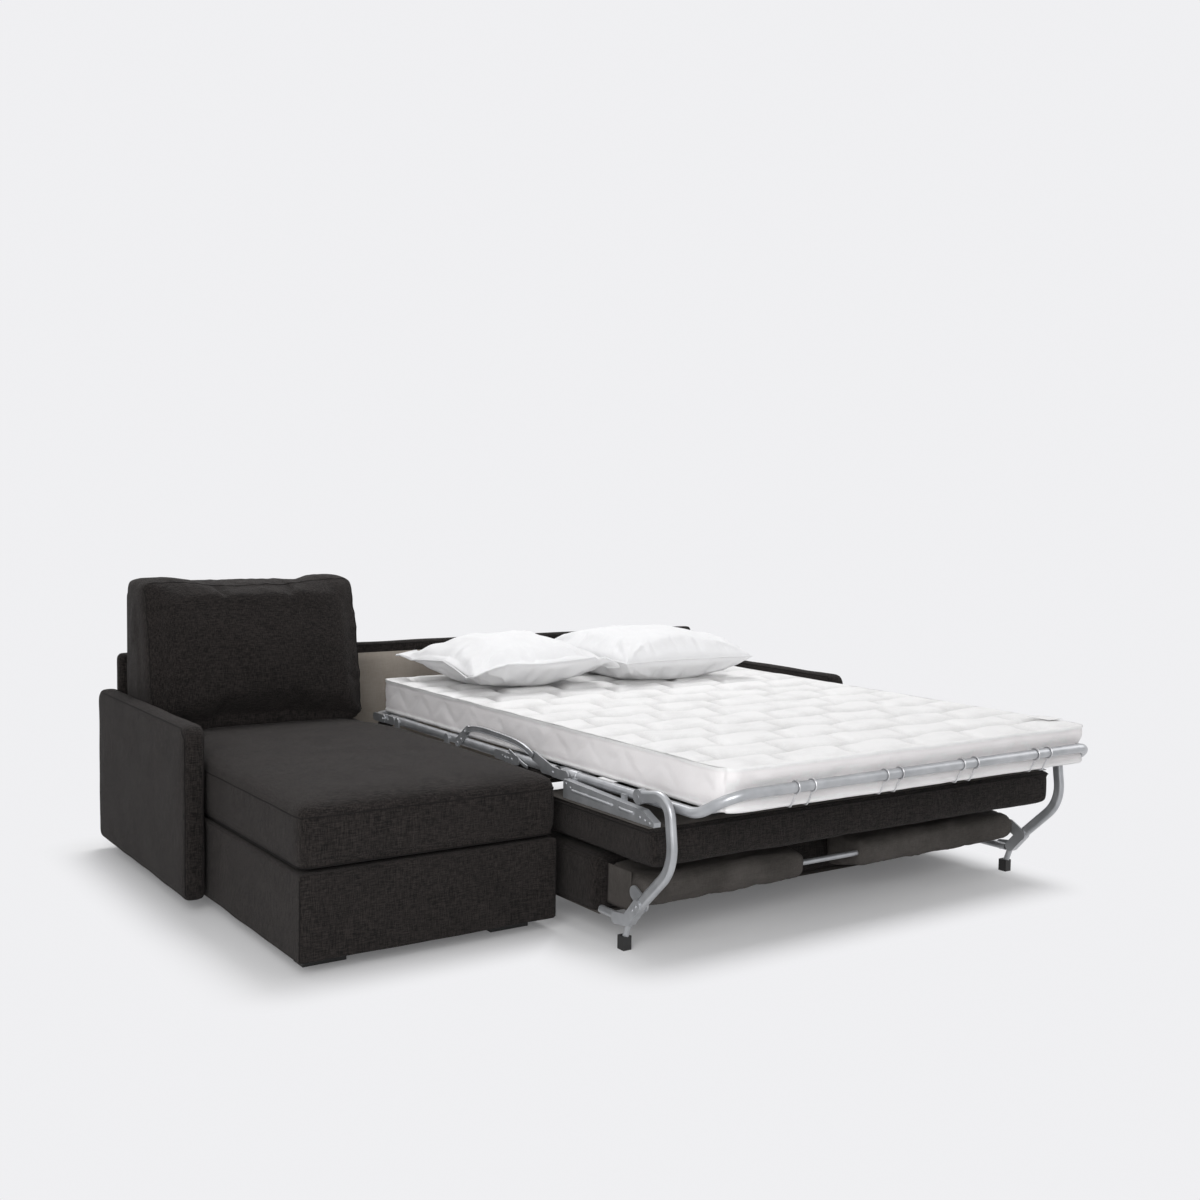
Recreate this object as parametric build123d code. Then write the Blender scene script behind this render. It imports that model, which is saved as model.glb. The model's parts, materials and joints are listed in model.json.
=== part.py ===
from build123d import *

import math
import os

# A corner sofa bed, opened for the night: a chaise on the left, and a fold-out bed in the bay beside it.
# Millimetres. Until a piece is written out, x runs right from the chaise's left side, y runs back from
# its front, and z runs up from the floor. Left-hand pieces of the bed are mirrored to make the right ones.

# Chaise
CHAISE_WIDTH = 742
FEET_HEIGHT = 35
BASE_TOP = 257
BOARD = 18
COVER = 3
DECK_THICK = 12
SLAB_OVERHANG = 8
SLAB_EDGE = 136
SLAB_CROWN = 26
SLAB_DRAW = 5
SLAB_NOSE = 4
REST_HOLLOW = 0.3
CUSHION_WIDTH = 742
CUSHION_HEIGHT = 472
CUSHION_FOOT = 300
CUSHION_HEAD = 205
CUSHION_LEAN = 70
CUSHION_CROWN = 26
FOOT_LONG = 118
FOOT_DEEP = 60
FOOT_INSET = 20
FOOT_SIDE = 42
FOOT_SETBACK = 80

# Carcass
SOFA_DEPTH = 1548
ARM_FRONT = 644
ARM_THICK = 60
ARM_TOP = 536
ARM_CORE = 28
ARM_CORNER = 34
ARM_EDGE = 13
ARM_GAP = 2
BAY_WIDTH = 1634
BACK_TOP = 647
BACK_BOTTOM = 60
BACK_THICK = 40
BACK_BOARD = 18
LINING = 2
LINING_DROP = 38
LINING_SIDE = 10
CLEAR = 0.3

# Bed frame, seen from its left side
MATTRESS_WIDTH = 1400
MATTRESS_THICK = 116
MATTRESS_LIFT = 10.5
MATTRESS_CORNER = 20
MATTRESS_PLAN_CORNER = 75
RAIL_OFFSET = 722
RAIL_Z = 405
RAIL_DIAMETER = 28
TUBE_WALL = 1.5
CROSS_DIAMETER = 20
HEAD_TUBE = 26
HEAD_BEND_RADIUS = 39
FRONT_RAIL_Y = -577
FRONT_RAIL_RISE = 61
RAIL_BEND_LENGTH = 99
RAIL_BEND_IN = 35
RAIL_BEND_RADIUS = 88
FOOT_FOLD_Y = 150
BEND_LENGTH = 265
HEAD_LENGTH = 106
HEAD_CLEAR = 147
RAIL_END = 18
FOLD_PLAY = 2
CROSS_INSET = 40

# Hinge plates: an inner layer on one rail and an outer layer on the next
EAR_THICK = 5
EAR_RADIUS = 14
EAR_BITE = 2
EAR_REACH = 64
EAR_PAD_GAP = 4
LAYER_GAP = 1
PIN_DIAMETER = 10
PIN_PLAY = 0.05

# Lift arms carry the middle section back and down into the bay
LIFT_BACK = 180
LIFT_DROP = 350
LIFT_ARM = 318
LIFT_PIN = 12
LIFT_WIDTH = 26
LIFT_THICK = 8
LIFT_OFFSET = 789
LIFT_BELOW_RAIL = 25
LIFT_FROM_HEAD = 455
LIFT_SPACING = 360
BASE_PLATE = 6
BASE_PLATE_GAP = 5
BASE_PLATE_FLOOR = 8
BASE_PLATE_MARGIN = 36
BASE_PLATE_REAR = 80
BASE_TUBE_DIAMETER = 24
SPACER_DIAMETER = 20

# Arched strut between the middle section and the foot section
STRUT_FROM_FOLD = 235
STRUT_RISE = 47
STRUT_HEIGHT = 22
STRUT_TIP_BACK = 104
STRUT_TIP_RISE = 30
STRUT_THICK = 7
STRUT_ARCH = 16

# Wire base of the bed and the loops that tie it to the front rail
WIRE = 4
WIRE_PAIRS = (-462, -148, 148, 462)
WIRE_SPREAD = 56
WIRE_WELD = 0.4
WIRE_GAP = 1
CROSS_WIRE_STEP = 150
HOOK_BACK = 115
HOOK_GAP = 3

# Seat, carried upside down under the foot section
SEAT_HALF_WIDTH = 784
SEAT_FRONT = -373
SEAT_DEPTH = 558
SEAT_BOTTOM = 256
SEAT_TOP = 348
SEAT_CROWN = 10
SEAT_SIDE_CROWN = 4
SEAT_DRAW = 5
SEAT_BOARD = 15
BOARD_MARGIN = 14
BEARER_WIDTH = 22
BEARER_WALL = 3
BEARER_OFFSET = 766
BEARER_REAR = 66
BEARER_FRONT = -356
BEARER_TALL = 52
BEARER_LOW = 36
BEARER_BACKS = (44, -190)
HANGER = 20

# Backrest, folded under the seat, with the two curved legs
LEG_OFFSET = 756
LEG_WIDE = 32
LEG_THICK = 20
LEG_ROUND = 9
LEG_PIVOT_Y = -284
LEG_PIVOT_RISE = 12
LEG_PIVOT_RADIUS = 20
LEG_SHOULDER = (-121, 20)
LEG_KNEE = (-144, -155)
LEG_ANKLE = (-6, -284)
LEG_SHOULDER_RADIUS = 52
LEG_KNEE_RADIUS = 120
LEG_PLATE = 4
PLATE_BITE = 1
LEG_FOOT_Y = -222
LEG_FOOT_TUBE = 18
LEG_FOOT_WALL = 2
RUBBER_SIZE = 25
RUBBER_HEIGHT = 37
RUBBER_SOCKET = 20
RUBBER_TOE = 4
RUBBER_PLAY = 0.1
BACK_TUBE = 16
BACK_TUBE_Y = -250
BACK_TUBE_Z = 155
GUSSET_RADIUS = 19
BACK_HALF_WIDTH = 782
BACK_FRONT = -110
BACK_LENGTH = 392
BACK_LOW = 68
BACK_HIGH = 213
BACK_CROWN = 9
BACK_END_CROWN = 6
BOARD_LIP = 2
CUT_OVER = 20
BACK_DRAW = 6
SIDE_TUBE = 22
SIDE_TUBE_FRONT = -228
SLEEVE_FRONT = -260
SLEEVE_NOSE = 52
SLEEVE_LOW = 90
SLEEVE_HIGH = 204
SLEEVE_OUT = 730
SLEEVE_GAP = 2
SLEEVE_DRAW = 1
SLEEVE_BOWS = (-4, 0.3, -6, 8)
SLEEVE_BARE = (-164, 64)

# Apron under the bend section, the sofa's front when it is closed
APRON_THICK = 16
APRON_HALF_WIDTH = 730
APRON_MARGIN = 10

# Pillows
PILLOW_LONG = 572
PILLOW_DEEP = 580
PILLOW_THICK = 180
PILLOW_EDGE = 12
PILLOW_SIDE = 84
PILLOW_BULGE = 14
PILLOW_PINCH = 16
PILLOW_TURN = 1
PILLOW_FULLNESS = ((-0.5, 0), (-0.42, 0.55), (-0.24, 0.9), (0, 1), (0.24, 0.9), (0.42, 0.55), (0.5, 0))
LEFT_PILLOW = (-362, 180)
RIGHT_PILLOW = (221, 210)

# Places worked out from the sizes above
BAY_LEFT = CHAISE_WIDTH + SLAB_OVERHANG
BAY_RIGHT = BAY_LEFT + BAY_WIDTH
BED_CENTRE = BAY_LEFT + BAY_WIDTH / 2
ARM_INNER = -SLAB_OVERHANG - ARM_GAP
LEFT_FACE = ARM_INNER - ARM_THICK
RIGHT_FACE = BAY_RIGHT + ARM_THICK
BACK_INNER = SOFA_DEPTH - BACK_THICK
SLAB_BOTTOM = BASE_TOP + DECK_THICK / 2
DECK_BOTTOM = SLAB_BOTTOM - DECK_THICK
SLAB_TOP = SLAB_BOTTOM + SLAB_EDGE
RAIL_RADIUS = RAIL_DIAMETER / 2
RAIL_X = BED_CENTRE - RAIL_OFFSET
RAIL_OUTER = RAIL_X - RAIL_RADIUS
RAIL_INNER = RAIL_X + RAIL_RADIUS
MID_FOLD_Y = FOOT_FOLD_Y + BEND_LENGTH
HEAD_END = BACK_INNER - HEAD_CLEAR
HEAD_FOLD_Y = HEAD_END - HEAD_LENGTH
FRONT_LIFT_Y = HEAD_FOLD_Y - LIFT_FROM_HEAD
MATTRESS_BOTTOM = RAIL_Z + MATTRESS_LIFT
MATTRESS_TOP = MATTRESS_BOTTOM + MATTRESS_THICK
MATTRESS_FRONT = FRONT_RAIL_Y + RAIL_RADIUS + WIRE + HOOK_GAP
MATTRESS_REAR = HEAD_END + HEAD_TUBE / 2
FOLD_CLEAR = RAIL_END + FOLD_PLAY
WIRE_Z = MATTRESS_BOTTOM - WIRE_GAP - WIRE / 2
CROSS_Z = WIRE_Z - WIRE / 2 - CROSS_DIAMETER / 2
LIFT_X = BED_CENTRE - LIFT_OFFSET
LIFT_TOP_Z = RAIL_Z - LIFT_BELOW_RAIL
PLATE_X = LIFT_X - LIFT_THICK / 2 - BASE_PLATE_GAP
LAYER_ONE = (RAIL_OUTER - EAR_THICK, RAIL_OUTER + EAR_BITE)
LAYER_TWO = (LAYER_ONE[0] - LAYER_GAP - EAR_THICK, LAYER_ONE[0] - LAYER_GAP)
STRUT_X = (LAYER_TWO[0] - LAYER_GAP - STRUT_THICK, LAYER_TWO[0] - LAYER_GAP)
STRUT_PIVOT = (MID_FOLD_Y + STRUT_FROM_FOLD, RAIL_Z + STRUT_RISE)
STRUT_TIP = (FOOT_FOLD_Y + STRUT_TIP_BACK, RAIL_Z + STRUT_TIP_RISE)
LEG_X = BED_CENTRE - LEG_OFFSET
LEG_PIVOT_Z = RAIL_Z + LEG_PIVOT_RISE
GUSSET_X = LEG_X + LEG_THICK / 2 + CLEAR
BACK_TUBE_X = GUSSET_X + LEG_PLATE
ORIGIN_X = (LEFT_FACE + RIGHT_FACE) / 2
ORIGIN_Y = (FRONT_RAIL_Y - RAIL_RADIUS - WIRE - CLEAR + SOFA_DEPTH) / 2

parts = {}


def keep(name, *solids):
    """Moves a piece to the frame of the whole sofa, centred on the floor, and keeps it under its name."""
    placed = [solid.moved(Location((-ORIGIN_X, -ORIGIN_Y, 0))) for solid in solids]
    parts[name] = placed[0] if len(placed) == 1 else Compound(children=placed)


def both_sides(left):
    """A left-hand piece of the bed and its mirror image."""
    return left, mirror(left, about=Plane.YZ.offset(BED_CENTRE))


def block(x0, x1, y0, y1, z0, z1):
    """A box from its lowest corner to its highest."""
    return Pos((x0 + x1) / 2, (y0 + y1) / 2, (z0 + z1) / 2) * Box(x1 - x0, y1 - y0, z1 - z0)


def upright(outline, x0, x1):
    """An outline drawn in y and z, given its thickness along x."""
    return extrude(Plane.YZ.offset(x0) * outline, amount=x1 - x0)


def rod(y, z, diameter, x0, x1):
    """A round bar along x."""
    return upright(Pos(y, z) * Circle(diameter / 2), x0, x1)


def tube(points, diameter, radii=None, wall=TUBE_WALL):
    """A round tube along straight runs joined by arcs."""
    path = FilletPolyline(*points, radius=radii) if radii else Line(*points)
    ring = Circle(diameter / 2) - Circle(diameter / 2 - wall)
    return sweep(Plane(path @ 0, z_dir=path % 0) * ring, path=path)


def link(start, end, width, x0, x1, holes=()):
    """A flat bar with round ends in y and z, with a hole at each given end."""
    run = Vector(end[0] - start[0], end[1] - start[1])
    middle = Pos((start[0] + end[0]) / 2, (start[1] + end[1]) / 2)
    outline = middle * SlotCenterToCenter(run.length, width, rotation=math.degrees(math.atan2(run.Y, run.X)))
    for place, diameter in holes:
        outline -= Pos(*place) * Circle(diameter / 2)
    return upright(outline, x0, x1)


def bowed(start, end, bow):
    """An edge from start to end that bows to its left by the given height."""
    run = Vector(end[0] - start[0], end[1] - start[1])
    middle = ((start[0] + end[0]) / 2, (start[1] + end[1]) / 2)
    side = (-run.Y / run.length * bow, run.X / run.length * bow)
    return ThreePointArc(start, (middle[0] + side[0], middle[1] + side[1]), end)


def padded_outline(corners, bows):
    """A closed outline through corners in turn, anticlockwise, each edge bowed outwards by its own height."""
    edges = []
    for index, bow in enumerate(bows):
        edges.append(bowed(corners[index], corners[(index + 1) % len(corners)], -bow))
    return make_face(edges)


def cushion(x0, x1, corners, bows, draw, end_share=0.35):
    """A crowned cushion: full corners at both ends, and in the middle fuller faces and drawn-in sides."""
    centre_y = sum(corner[0] for corner in corners) / len(corners)
    drawn = [(y + math.copysign(draw, centre_y - y), z) for y, z in corners]
    end_bows = [bow * end_share for bow in bows]
    middle = Plane.YZ.offset((x0 + x1) / 2) * padded_outline(drawn, bows)
    ends = [Plane.YZ.offset(x) * padded_outline(corners, end_bows) for x in (x0, x1)]
    return loft([ends[0], middle, ends[1]])


def chaise():
    """The chaise: a boarded box on feet, with a cover, a deck and floor, a seat slab and a back cushion."""
    rear = BACK_INNER - CLEAR
    low = FEET_HEIGHT + CLEAR
    high = DECK_BOTTOM
    inner_right = CHAISE_WIDTH - COVER
    left_panel = block(COVER, COVER + BOARD, COVER, rear, low, high)
    right_panel = block(inner_right - BOARD, inner_right, COVER, rear, low, high)
    keep("chaise_side_panels", left_panel, right_panel)
    keep("chaise_panel_front", block(COVER + BOARD, inner_right - BOARD, COVER, COVER + BOARD, low, high))
    keep("chaise_panel_rear", block(COVER + BOARD, inner_right - BOARD, rear - BOARD, rear, low, high))
    outer = block(0, CHAISE_WIDTH, 0, rear, low, BASE_TOP)
    inside = block(COVER, inner_right, COVER, rear, low, BASE_TOP)
    keep("chaise_base_cover", outer - inside)
    deck = block(COVER, inner_right, COVER, rear, DECK_BOTTOM, SLAB_BOTTOM)
    x0, x1 = COVER + BOARD, inner_right - BOARD
    keep("chaise_deck", deck, block(x0, x1, COVER + BOARD, rear - BOARD, low, low + BOARD))
    slab_corners = [
        (-SLAB_OVERHANG, SLAB_BOTTOM),
        (rear, SLAB_BOTTOM),
        (rear, SLAB_TOP),
        (-SLAB_OVERHANG, SLAB_TOP),
    ]
    slab_bows = (-REST_HOLLOW, -REST_HOLLOW, SLAB_CROWN, SLAB_NOSE)
    slab = cushion(-SLAB_OVERHANG, BAY_LEFT, slab_corners, slab_bows, SLAB_DRAW)
    keep("chaise_seat_cushion", slab)
    foot = SLAB_TOP + SLAB_CROWN + CLEAR
    head = foot + CUSHION_HEIGHT
    back_corners = [
        (rear - CUSHION_FOOT, foot),
        (rear - CLEAR, foot),
        (rear - CLEAR, head),
        (rear - CUSHION_HEAD - CLEAR, head),
    ]
    back_bows = (-REST_HOLLOW, -REST_HOLLOW, CUSHION_CROWN / 2, CUSHION_CROWN)
    keep("chaise_back_cushion", cushion(0, CUSHION_WIDTH, back_corners, back_bows, SLAB_DRAW))
    feet = []
    for x in (FOOT_SIDE, CHAISE_WIDTH - FOOT_SIDE - FOOT_LONG):
        for y in (FOOT_SETBACK, rear - FOOT_INSET - FOOT_DEEP):
            feet.append(block(x, x + FOOT_LONG, y, y + FOOT_DEEP, 0, FEET_HEIGHT))
    keep("chaise_feet", *feet)


def arm(name, x0, x1):
    """A slim upright arm: a board core inside a padded cover with a rounded top front corner."""
    outline = Polygon(
        (ARM_FRONT, FEET_HEIGHT),
        (SOFA_DEPTH, FEET_HEIGHT),
        (SOFA_DEPTH, ARM_TOP),
        (ARM_FRONT, ARM_TOP),
        align=None,
    )
    outline = fillet(outline.vertices().sort_by(Axis.Y)[-2:], ARM_CORNER)
    body = upright(outline, x0, x1)
    sides = body.faces().sort_by(Axis.X)
    body = fillet(sides[0].edges() + sides[-1].edges(), ARM_EDGE)
    rim = (ARM_THICK - ARM_CORE) / 2
    core_top = ARM_TOP - ARM_CORNER
    core = block(x0 + rim, x1 - rim, ARM_FRONT + rim, SOFA_DEPTH - rim, FEET_HEIGHT + rim, core_top)
    keep(name + "_core", core)
    keep(name + "_cover", body - core)


def carcass():
    """Both arms, the back that closes the sofa behind, its light lining, and the feet of the right side."""
    arm("left_arm", LEFT_FACE, ARM_INNER)
    arm("right_arm", BAY_RIGHT, RIGHT_FACE)
    left = ARM_INNER + CLEAR
    right = BAY_RIGHT - CLEAR
    pad = (BACK_THICK - BACK_BOARD) / 2
    front, rear = BACK_INNER + pad, SOFA_DEPTH - pad
    board = block(left + pad, right - pad, front, rear, BACK_BOTTOM + pad, BACK_TOP - pad)
    body = block(left, right, BACK_INNER, SOFA_DEPTH, BACK_BOTTOM, BACK_TOP)
    body = fillet(body.edges().filter_by(Axis.X), pad)
    keep("back_board", board)
    keep("back_cover", body - board)
    lining_face = BACK_INNER - CLEAR
    lining_top = BACK_TOP - LINING_DROP
    x0, x1 = BAY_LEFT + LINING_SIDE, right - LINING_SIDE
    keep("back_lining", block(x0, x1, lining_face - LINING, lining_face, BACK_BOTTOM, lining_top))
    feet = []
    for y in (ARM_FRONT + FOOT_INSET, SOFA_DEPTH - FOOT_INSET - FOOT_LONG):
        feet.append(block(BAY_RIGHT + CLEAR, RIGHT_FACE - ARM_EDGE, y, y + FOOT_LONG, 0, FEET_HEIGHT))
    keep("arm_feet", *feet)


def lift_base(top_y):
    """The fixed pivot of a lift arm: the arm swings its top back and down by the set distances."""
    half = math.hypot(LIFT_BACK, LIFT_DROP) / 2
    off = math.sqrt(LIFT_ARM**2 - half**2)
    along_y, along_z = LIFT_BACK / (2 * half), -LIFT_DROP / (2 * half)
    return top_y + LIFT_BACK / 2 + along_z * off, LIFT_TOP_Z - LIFT_DROP / 2 - along_y * off


def base_mechanism():
    """The fixed side plates that carry the lift arms, with pins, spacers to the sofa and two cross tubes."""
    pivots = [lift_base(y) for y in (FRONT_LIFT_Y, FRONT_LIFT_Y + LIFT_SPACING)]
    front = pivots[0][0] - BASE_PLATE_MARGIN
    rear = pivots[1][0] + BASE_PLATE_REAR
    high = pivots[0][1] + BASE_PLATE_MARGIN
    plate_outer = PLATE_X - BASE_PLATE
    keep("base_plates", *both_sides(block(plate_outer, PLATE_X, front, rear, BASE_PLATE_FLOOR, high)))
    pins = []
    for pivot in pivots:
        pins += both_sides(rod(*pivot, LIFT_PIN, PLATE_X, LIFT_X + LIFT_THICK / 2 + LAYER_GAP))
    keep("base_pivot_pins", *pins)
    spacers = []
    for y in (front + BASE_PLATE_MARGIN, rear - BASE_PLATE_MARGIN):
        place = (y, high - BASE_PLATE_MARGIN / 2)
        spacers.append(rod(*place, SPACER_DIAMETER, CHAISE_WIDTH, plate_outer))
        spacers.append(rod(*place, SPACER_DIAMETER, 2 * BED_CENTRE - plate_outer, BAY_RIGHT))
    keep("base_plate_spacers", *spacers)
    tubes = []
    for y in (front + BASE_TUBE_DIAMETER, rear - BASE_TUBE_DIAMETER):
        z = BASE_PLATE_FLOOR + BASE_TUBE_DIAMETER / 2
        tubes.append(tube([(PLATE_X, y, z), (2 * BED_CENTRE - PLATE_X, y, z)], BASE_TUBE_DIAMETER))
    keep("base_cross_tubes", *tubes)


def lift_arms():
    """Two pairs of flat arms between the fixed pins and the pins of the middle section."""
    hole = LIFT_PIN + 2 * PIN_PLAY
    for name, top_y in (("front", FRONT_LIFT_Y), ("rear", FRONT_LIFT_Y + LIFT_SPACING)):
        top = (top_y, LIFT_TOP_Z)
        base = lift_base(top_y)
        holes = ((top, hole), (base, hole))
        span = (LIFT_X - LIFT_THICK / 2, LIFT_X + LIFT_THICK / 2)
        keep(name + "_lift_arms", *both_sides(link(base, top, LIFT_WIDTH, *span, holes)))


def inner_ear(fold_y, toward):
    """A hinge plate welded on a rail's outer side, with its pin, reaching from the fold along the rail."""
    plate = link((fold_y, RAIL_Z), (fold_y + toward * EAR_REACH, RAIL_Z), 2 * EAR_RADIUS, *LAYER_ONE)
    pin = rod(fold_y, RAIL_Z, PIN_DIAMETER, LAYER_TWO[0] - LAYER_GAP, LAYER_ONE[1])
    return plate + pin


def outer_ear(fold_y, toward):
    """A hinge plate one layer further out, with the hole for the pin and a pad back to its own rail."""
    hole = ((fold_y, RAIL_Z), PIN_DIAMETER + 2 * PIN_PLAY)
    plate = link((fold_y, RAIL_Z), (fold_y + toward * EAR_REACH, RAIL_Z), 2 * EAR_RADIUS, *LAYER_TWO, (hole,))
    near, far = sorted((fold_y + toward * (RAIL_END + EAR_PAD_GAP), fold_y + toward * EAR_REACH))
    pad = block(LAYER_TWO[1], LAYER_ONE[1], near, far, RAIL_Z - EAR_RADIUS / 2, RAIL_Z + EAR_RADIUS / 2)
    return plate + pad


def wire_base(front, rear):
    """Pairs of long wires welded to cross wires, which leave the middle free for a cross tube."""
    wires = []
    for pair in WIRE_PAIRS:
        for side in (-WIRE_SPREAD / 2, WIRE_SPREAD / 2):
            x = BED_CENTRE + pair + side
            wires.append(tube([(x, front, WIRE_Z), (x, rear, WIRE_Z)], WIRE, wall=WIRE / 2 - CLEAR))
    net = wires[0]
    spaces = 2 * round((rear - front) / CROSS_WIRE_STEP / 2 - 0.5) + 1
    count = max(1, spaces - 1)
    outer = -WIRE_PAIRS[0] + WIRE_SPREAD
    for index in range(count):
        y = front + (rear - front) * (index + 1) / (count + 1)
        z = WIRE_Z - WIRE + WIRE_WELD
        net = net + rod(y, z, WIRE, BED_CENTRE - outer, BED_CENTRE + outer)
    return net.fuse(*wires[1:])


def cross_tube(y):
    """A tube across the bed from rail to rail, under the wires."""
    return tube([(RAIL_INNER, y, CROSS_Z), (2 * BED_CENTRE - RAIL_INNER, y, CROSS_Z)], CROSS_DIAMETER)


def side_rail(front, rear):
    """The left side tube of a section between two folds."""
    return tube([(RAIL_X, front + RAIL_END, RAIL_Z), (RAIL_X, rear - RAIL_END, RAIL_Z)], RAIL_DIAMETER)


def mattress_piece(front, rear):
    """A length of the mattress: rounded edges along both sides and a border that draws in a little."""
    half = MATTRESS_WIDTH / 2
    outline = RectangleRounded(2 * half, MATTRESS_THICK, MATTRESS_CORNER)
    outline = Pos(BED_CENTRE, (MATTRESS_BOTTOM + MATTRESS_TOP) / 2) * outline
    piece = extrude(Plane.XZ.offset(-rear) * outline, amount=rear - front)
    length = MATTRESS_REAR - MATTRESS_FRONT
    plan = RectangleRounded(2 * half, length, MATTRESS_PLAN_CORNER)
    plan = Pos(BED_CENTRE, MATTRESS_FRONT + length / 2) * plan
    return piece & extrude(plan, amount=MATTRESS_TOP + CUT_OVER)


def mid_section():
    """The long middle section on its lift arms: rails with welded brackets, cross tubes, wires, mattress."""
    rail = side_rail(MID_FOLD_Y, HEAD_FOLD_Y)
    rail += inner_ear(MID_FOLD_Y, 1) + inner_ear(HEAD_FOLD_Y, -1)
    brackets = []
    bar = Plane.XZ.offset(-HEAD_FOLD_Y) * Pos(RAIL_X, RAIL_Z) * Circle(RAIL_RADIUS)
    bar = extrude(bar, amount=HEAD_FOLD_Y - MID_FOLD_Y)
    for top_y in (FRONT_LIFT_Y, FRONT_LIFT_Y + LIFT_SPACING):
        plate = link((top_y, LIFT_TOP_Z), (top_y, RAIL_Z), 2 * EAR_RADIUS, *LAYER_ONE)
        pin = rod(top_y, LIFT_TOP_Z, LIFT_PIN, LIFT_X - LIFT_THICK / 2 - LAYER_GAP, LAYER_ONE[1])
        brackets += both_sides(plate + pin - bar)
    heel = (STRUT_PIVOT[0] + EAR_REACH, RAIL_Z)
    rail += link(heel, STRUT_PIVOT, 2 * EAR_RADIUS, *LAYER_TWO)
    rail += rod(*heel, EAR_RADIUS, LAYER_TWO[1], LAYER_ONE[1])
    rail += rod(*STRUT_PIVOT, PIN_DIAMETER, STRUT_X[0] - LAYER_GAP, LAYER_TWO[1])
    left, right = both_sides(rail)
    keep("mid_rail_left", left)
    keep("mid_rail_right", right)
    keep("mid_lift_brackets", *brackets)
    front, rear = MID_FOLD_Y + CROSS_INSET, HEAD_FOLD_Y - CROSS_INSET
    keep("mid_cross_tubes", cross_tube(front), cross_tube((front + rear) / 2), cross_tube(rear))
    keep("mid_wires", wire_base(front, rear))
    keep("mattress_mid", mattress_piece(MID_FOLD_Y + FOLD_CLEAR, HEAD_FOLD_Y - FOLD_CLEAR))


def strut():
    """The arched strut from the middle section's bracket to the tip on the foot section's lever."""
    hole = ((STRUT_PIVOT), PIN_DIAMETER + 2 * PIN_PLAY)
    straight = link(STRUT_PIVOT, STRUT_TIP, STRUT_HEIGHT, *STRUT_X, (hole,))
    middle = ((STRUT_PIVOT[0] + STRUT_TIP[0]) / 2, (STRUT_PIVOT[1] + STRUT_TIP[1]) / 2)
    length = math.dist(STRUT_PIVOT, STRUT_TIP)
    turn = math.degrees(math.atan2(STRUT_PIVOT[1] - STRUT_TIP[1], STRUT_PIVOT[0] - STRUT_TIP[0]))
    span = length - 2 * STRUT_HEIGHT
    ends = ((-span / 2, 0), (span / 2, 0))
    crown = make_face([Line(*ends), bowed(ends[1], ends[0], -2 * STRUT_ARCH)])
    arch = upright(Pos(*middle) * Rot(0, 0, turn) * crown, *STRUT_X)
    left, right = both_sides(straight + arch)
    keep("fold_strut_left", left)
    keep("fold_strut_right", right)


def head_section():
    """The short head section: a bent tube on outer hinge plates, and the head of the mattress."""
    z = MATTRESS_BOTTOM - CLEAR - HEAD_TUBE / 2
    start = HEAD_FOLD_Y + RAIL_END
    right_x = 2 * BED_CENTRE - RAIL_X
    corners = [(RAIL_X, start, z), (RAIL_X, HEAD_END, z), (right_x, HEAD_END, z), (right_x, start, z)]
    frame = tube(corners, HEAD_TUBE, radii=[HEAD_BEND_RADIUS] * 2)
    ears = both_sides(outer_ear(HEAD_FOLD_Y, 1))
    keep("head_frame", frame + ears[0] + ears[1])
    keep("mattress_head", mattress_piece(HEAD_FOLD_Y - FOLD_CLEAR + CLEAR, MATTRESS_REAR))


def bend_section():
    """The short section that stands up as the sofa's front: rails, wires, mattress and the covered apron."""
    rail = side_rail(FOOT_FOLD_Y, MID_FOLD_Y)
    left, right = both_sides(rail + inner_ear(FOOT_FOLD_Y, 1) + outer_ear(MID_FOLD_Y, -1))
    keep("bend_rail_left", left)
    keep("bend_rail_right", right)
    front, rear = FOOT_FOLD_Y + CROSS_INSET, MID_FOLD_Y - CROSS_INSET
    keep("bend_cross_tubes", cross_tube(front), cross_tube(rear))
    keep("bend_wires", wire_base(front, rear))
    keep("mattress_bend", mattress_piece(FOOT_FOLD_Y - FOLD_CLEAR + CLEAR, MID_FOLD_Y + FOLD_CLEAR - CLEAR))
    top = CROSS_Z - CROSS_DIAMETER / 2
    near, far = FOOT_FOLD_Y + APRON_MARGIN, MID_FOLD_Y - APRON_MARGIN
    left, right = BED_CENTRE - APRON_HALF_WIDTH, BED_CENTRE + APRON_HALF_WIDTH
    board = block(left, right, near, far, top - APRON_THICK, top)
    keep("front_apron", fillet(board.edges().filter_by(Axis.X), APRON_THICK / 3))


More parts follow.
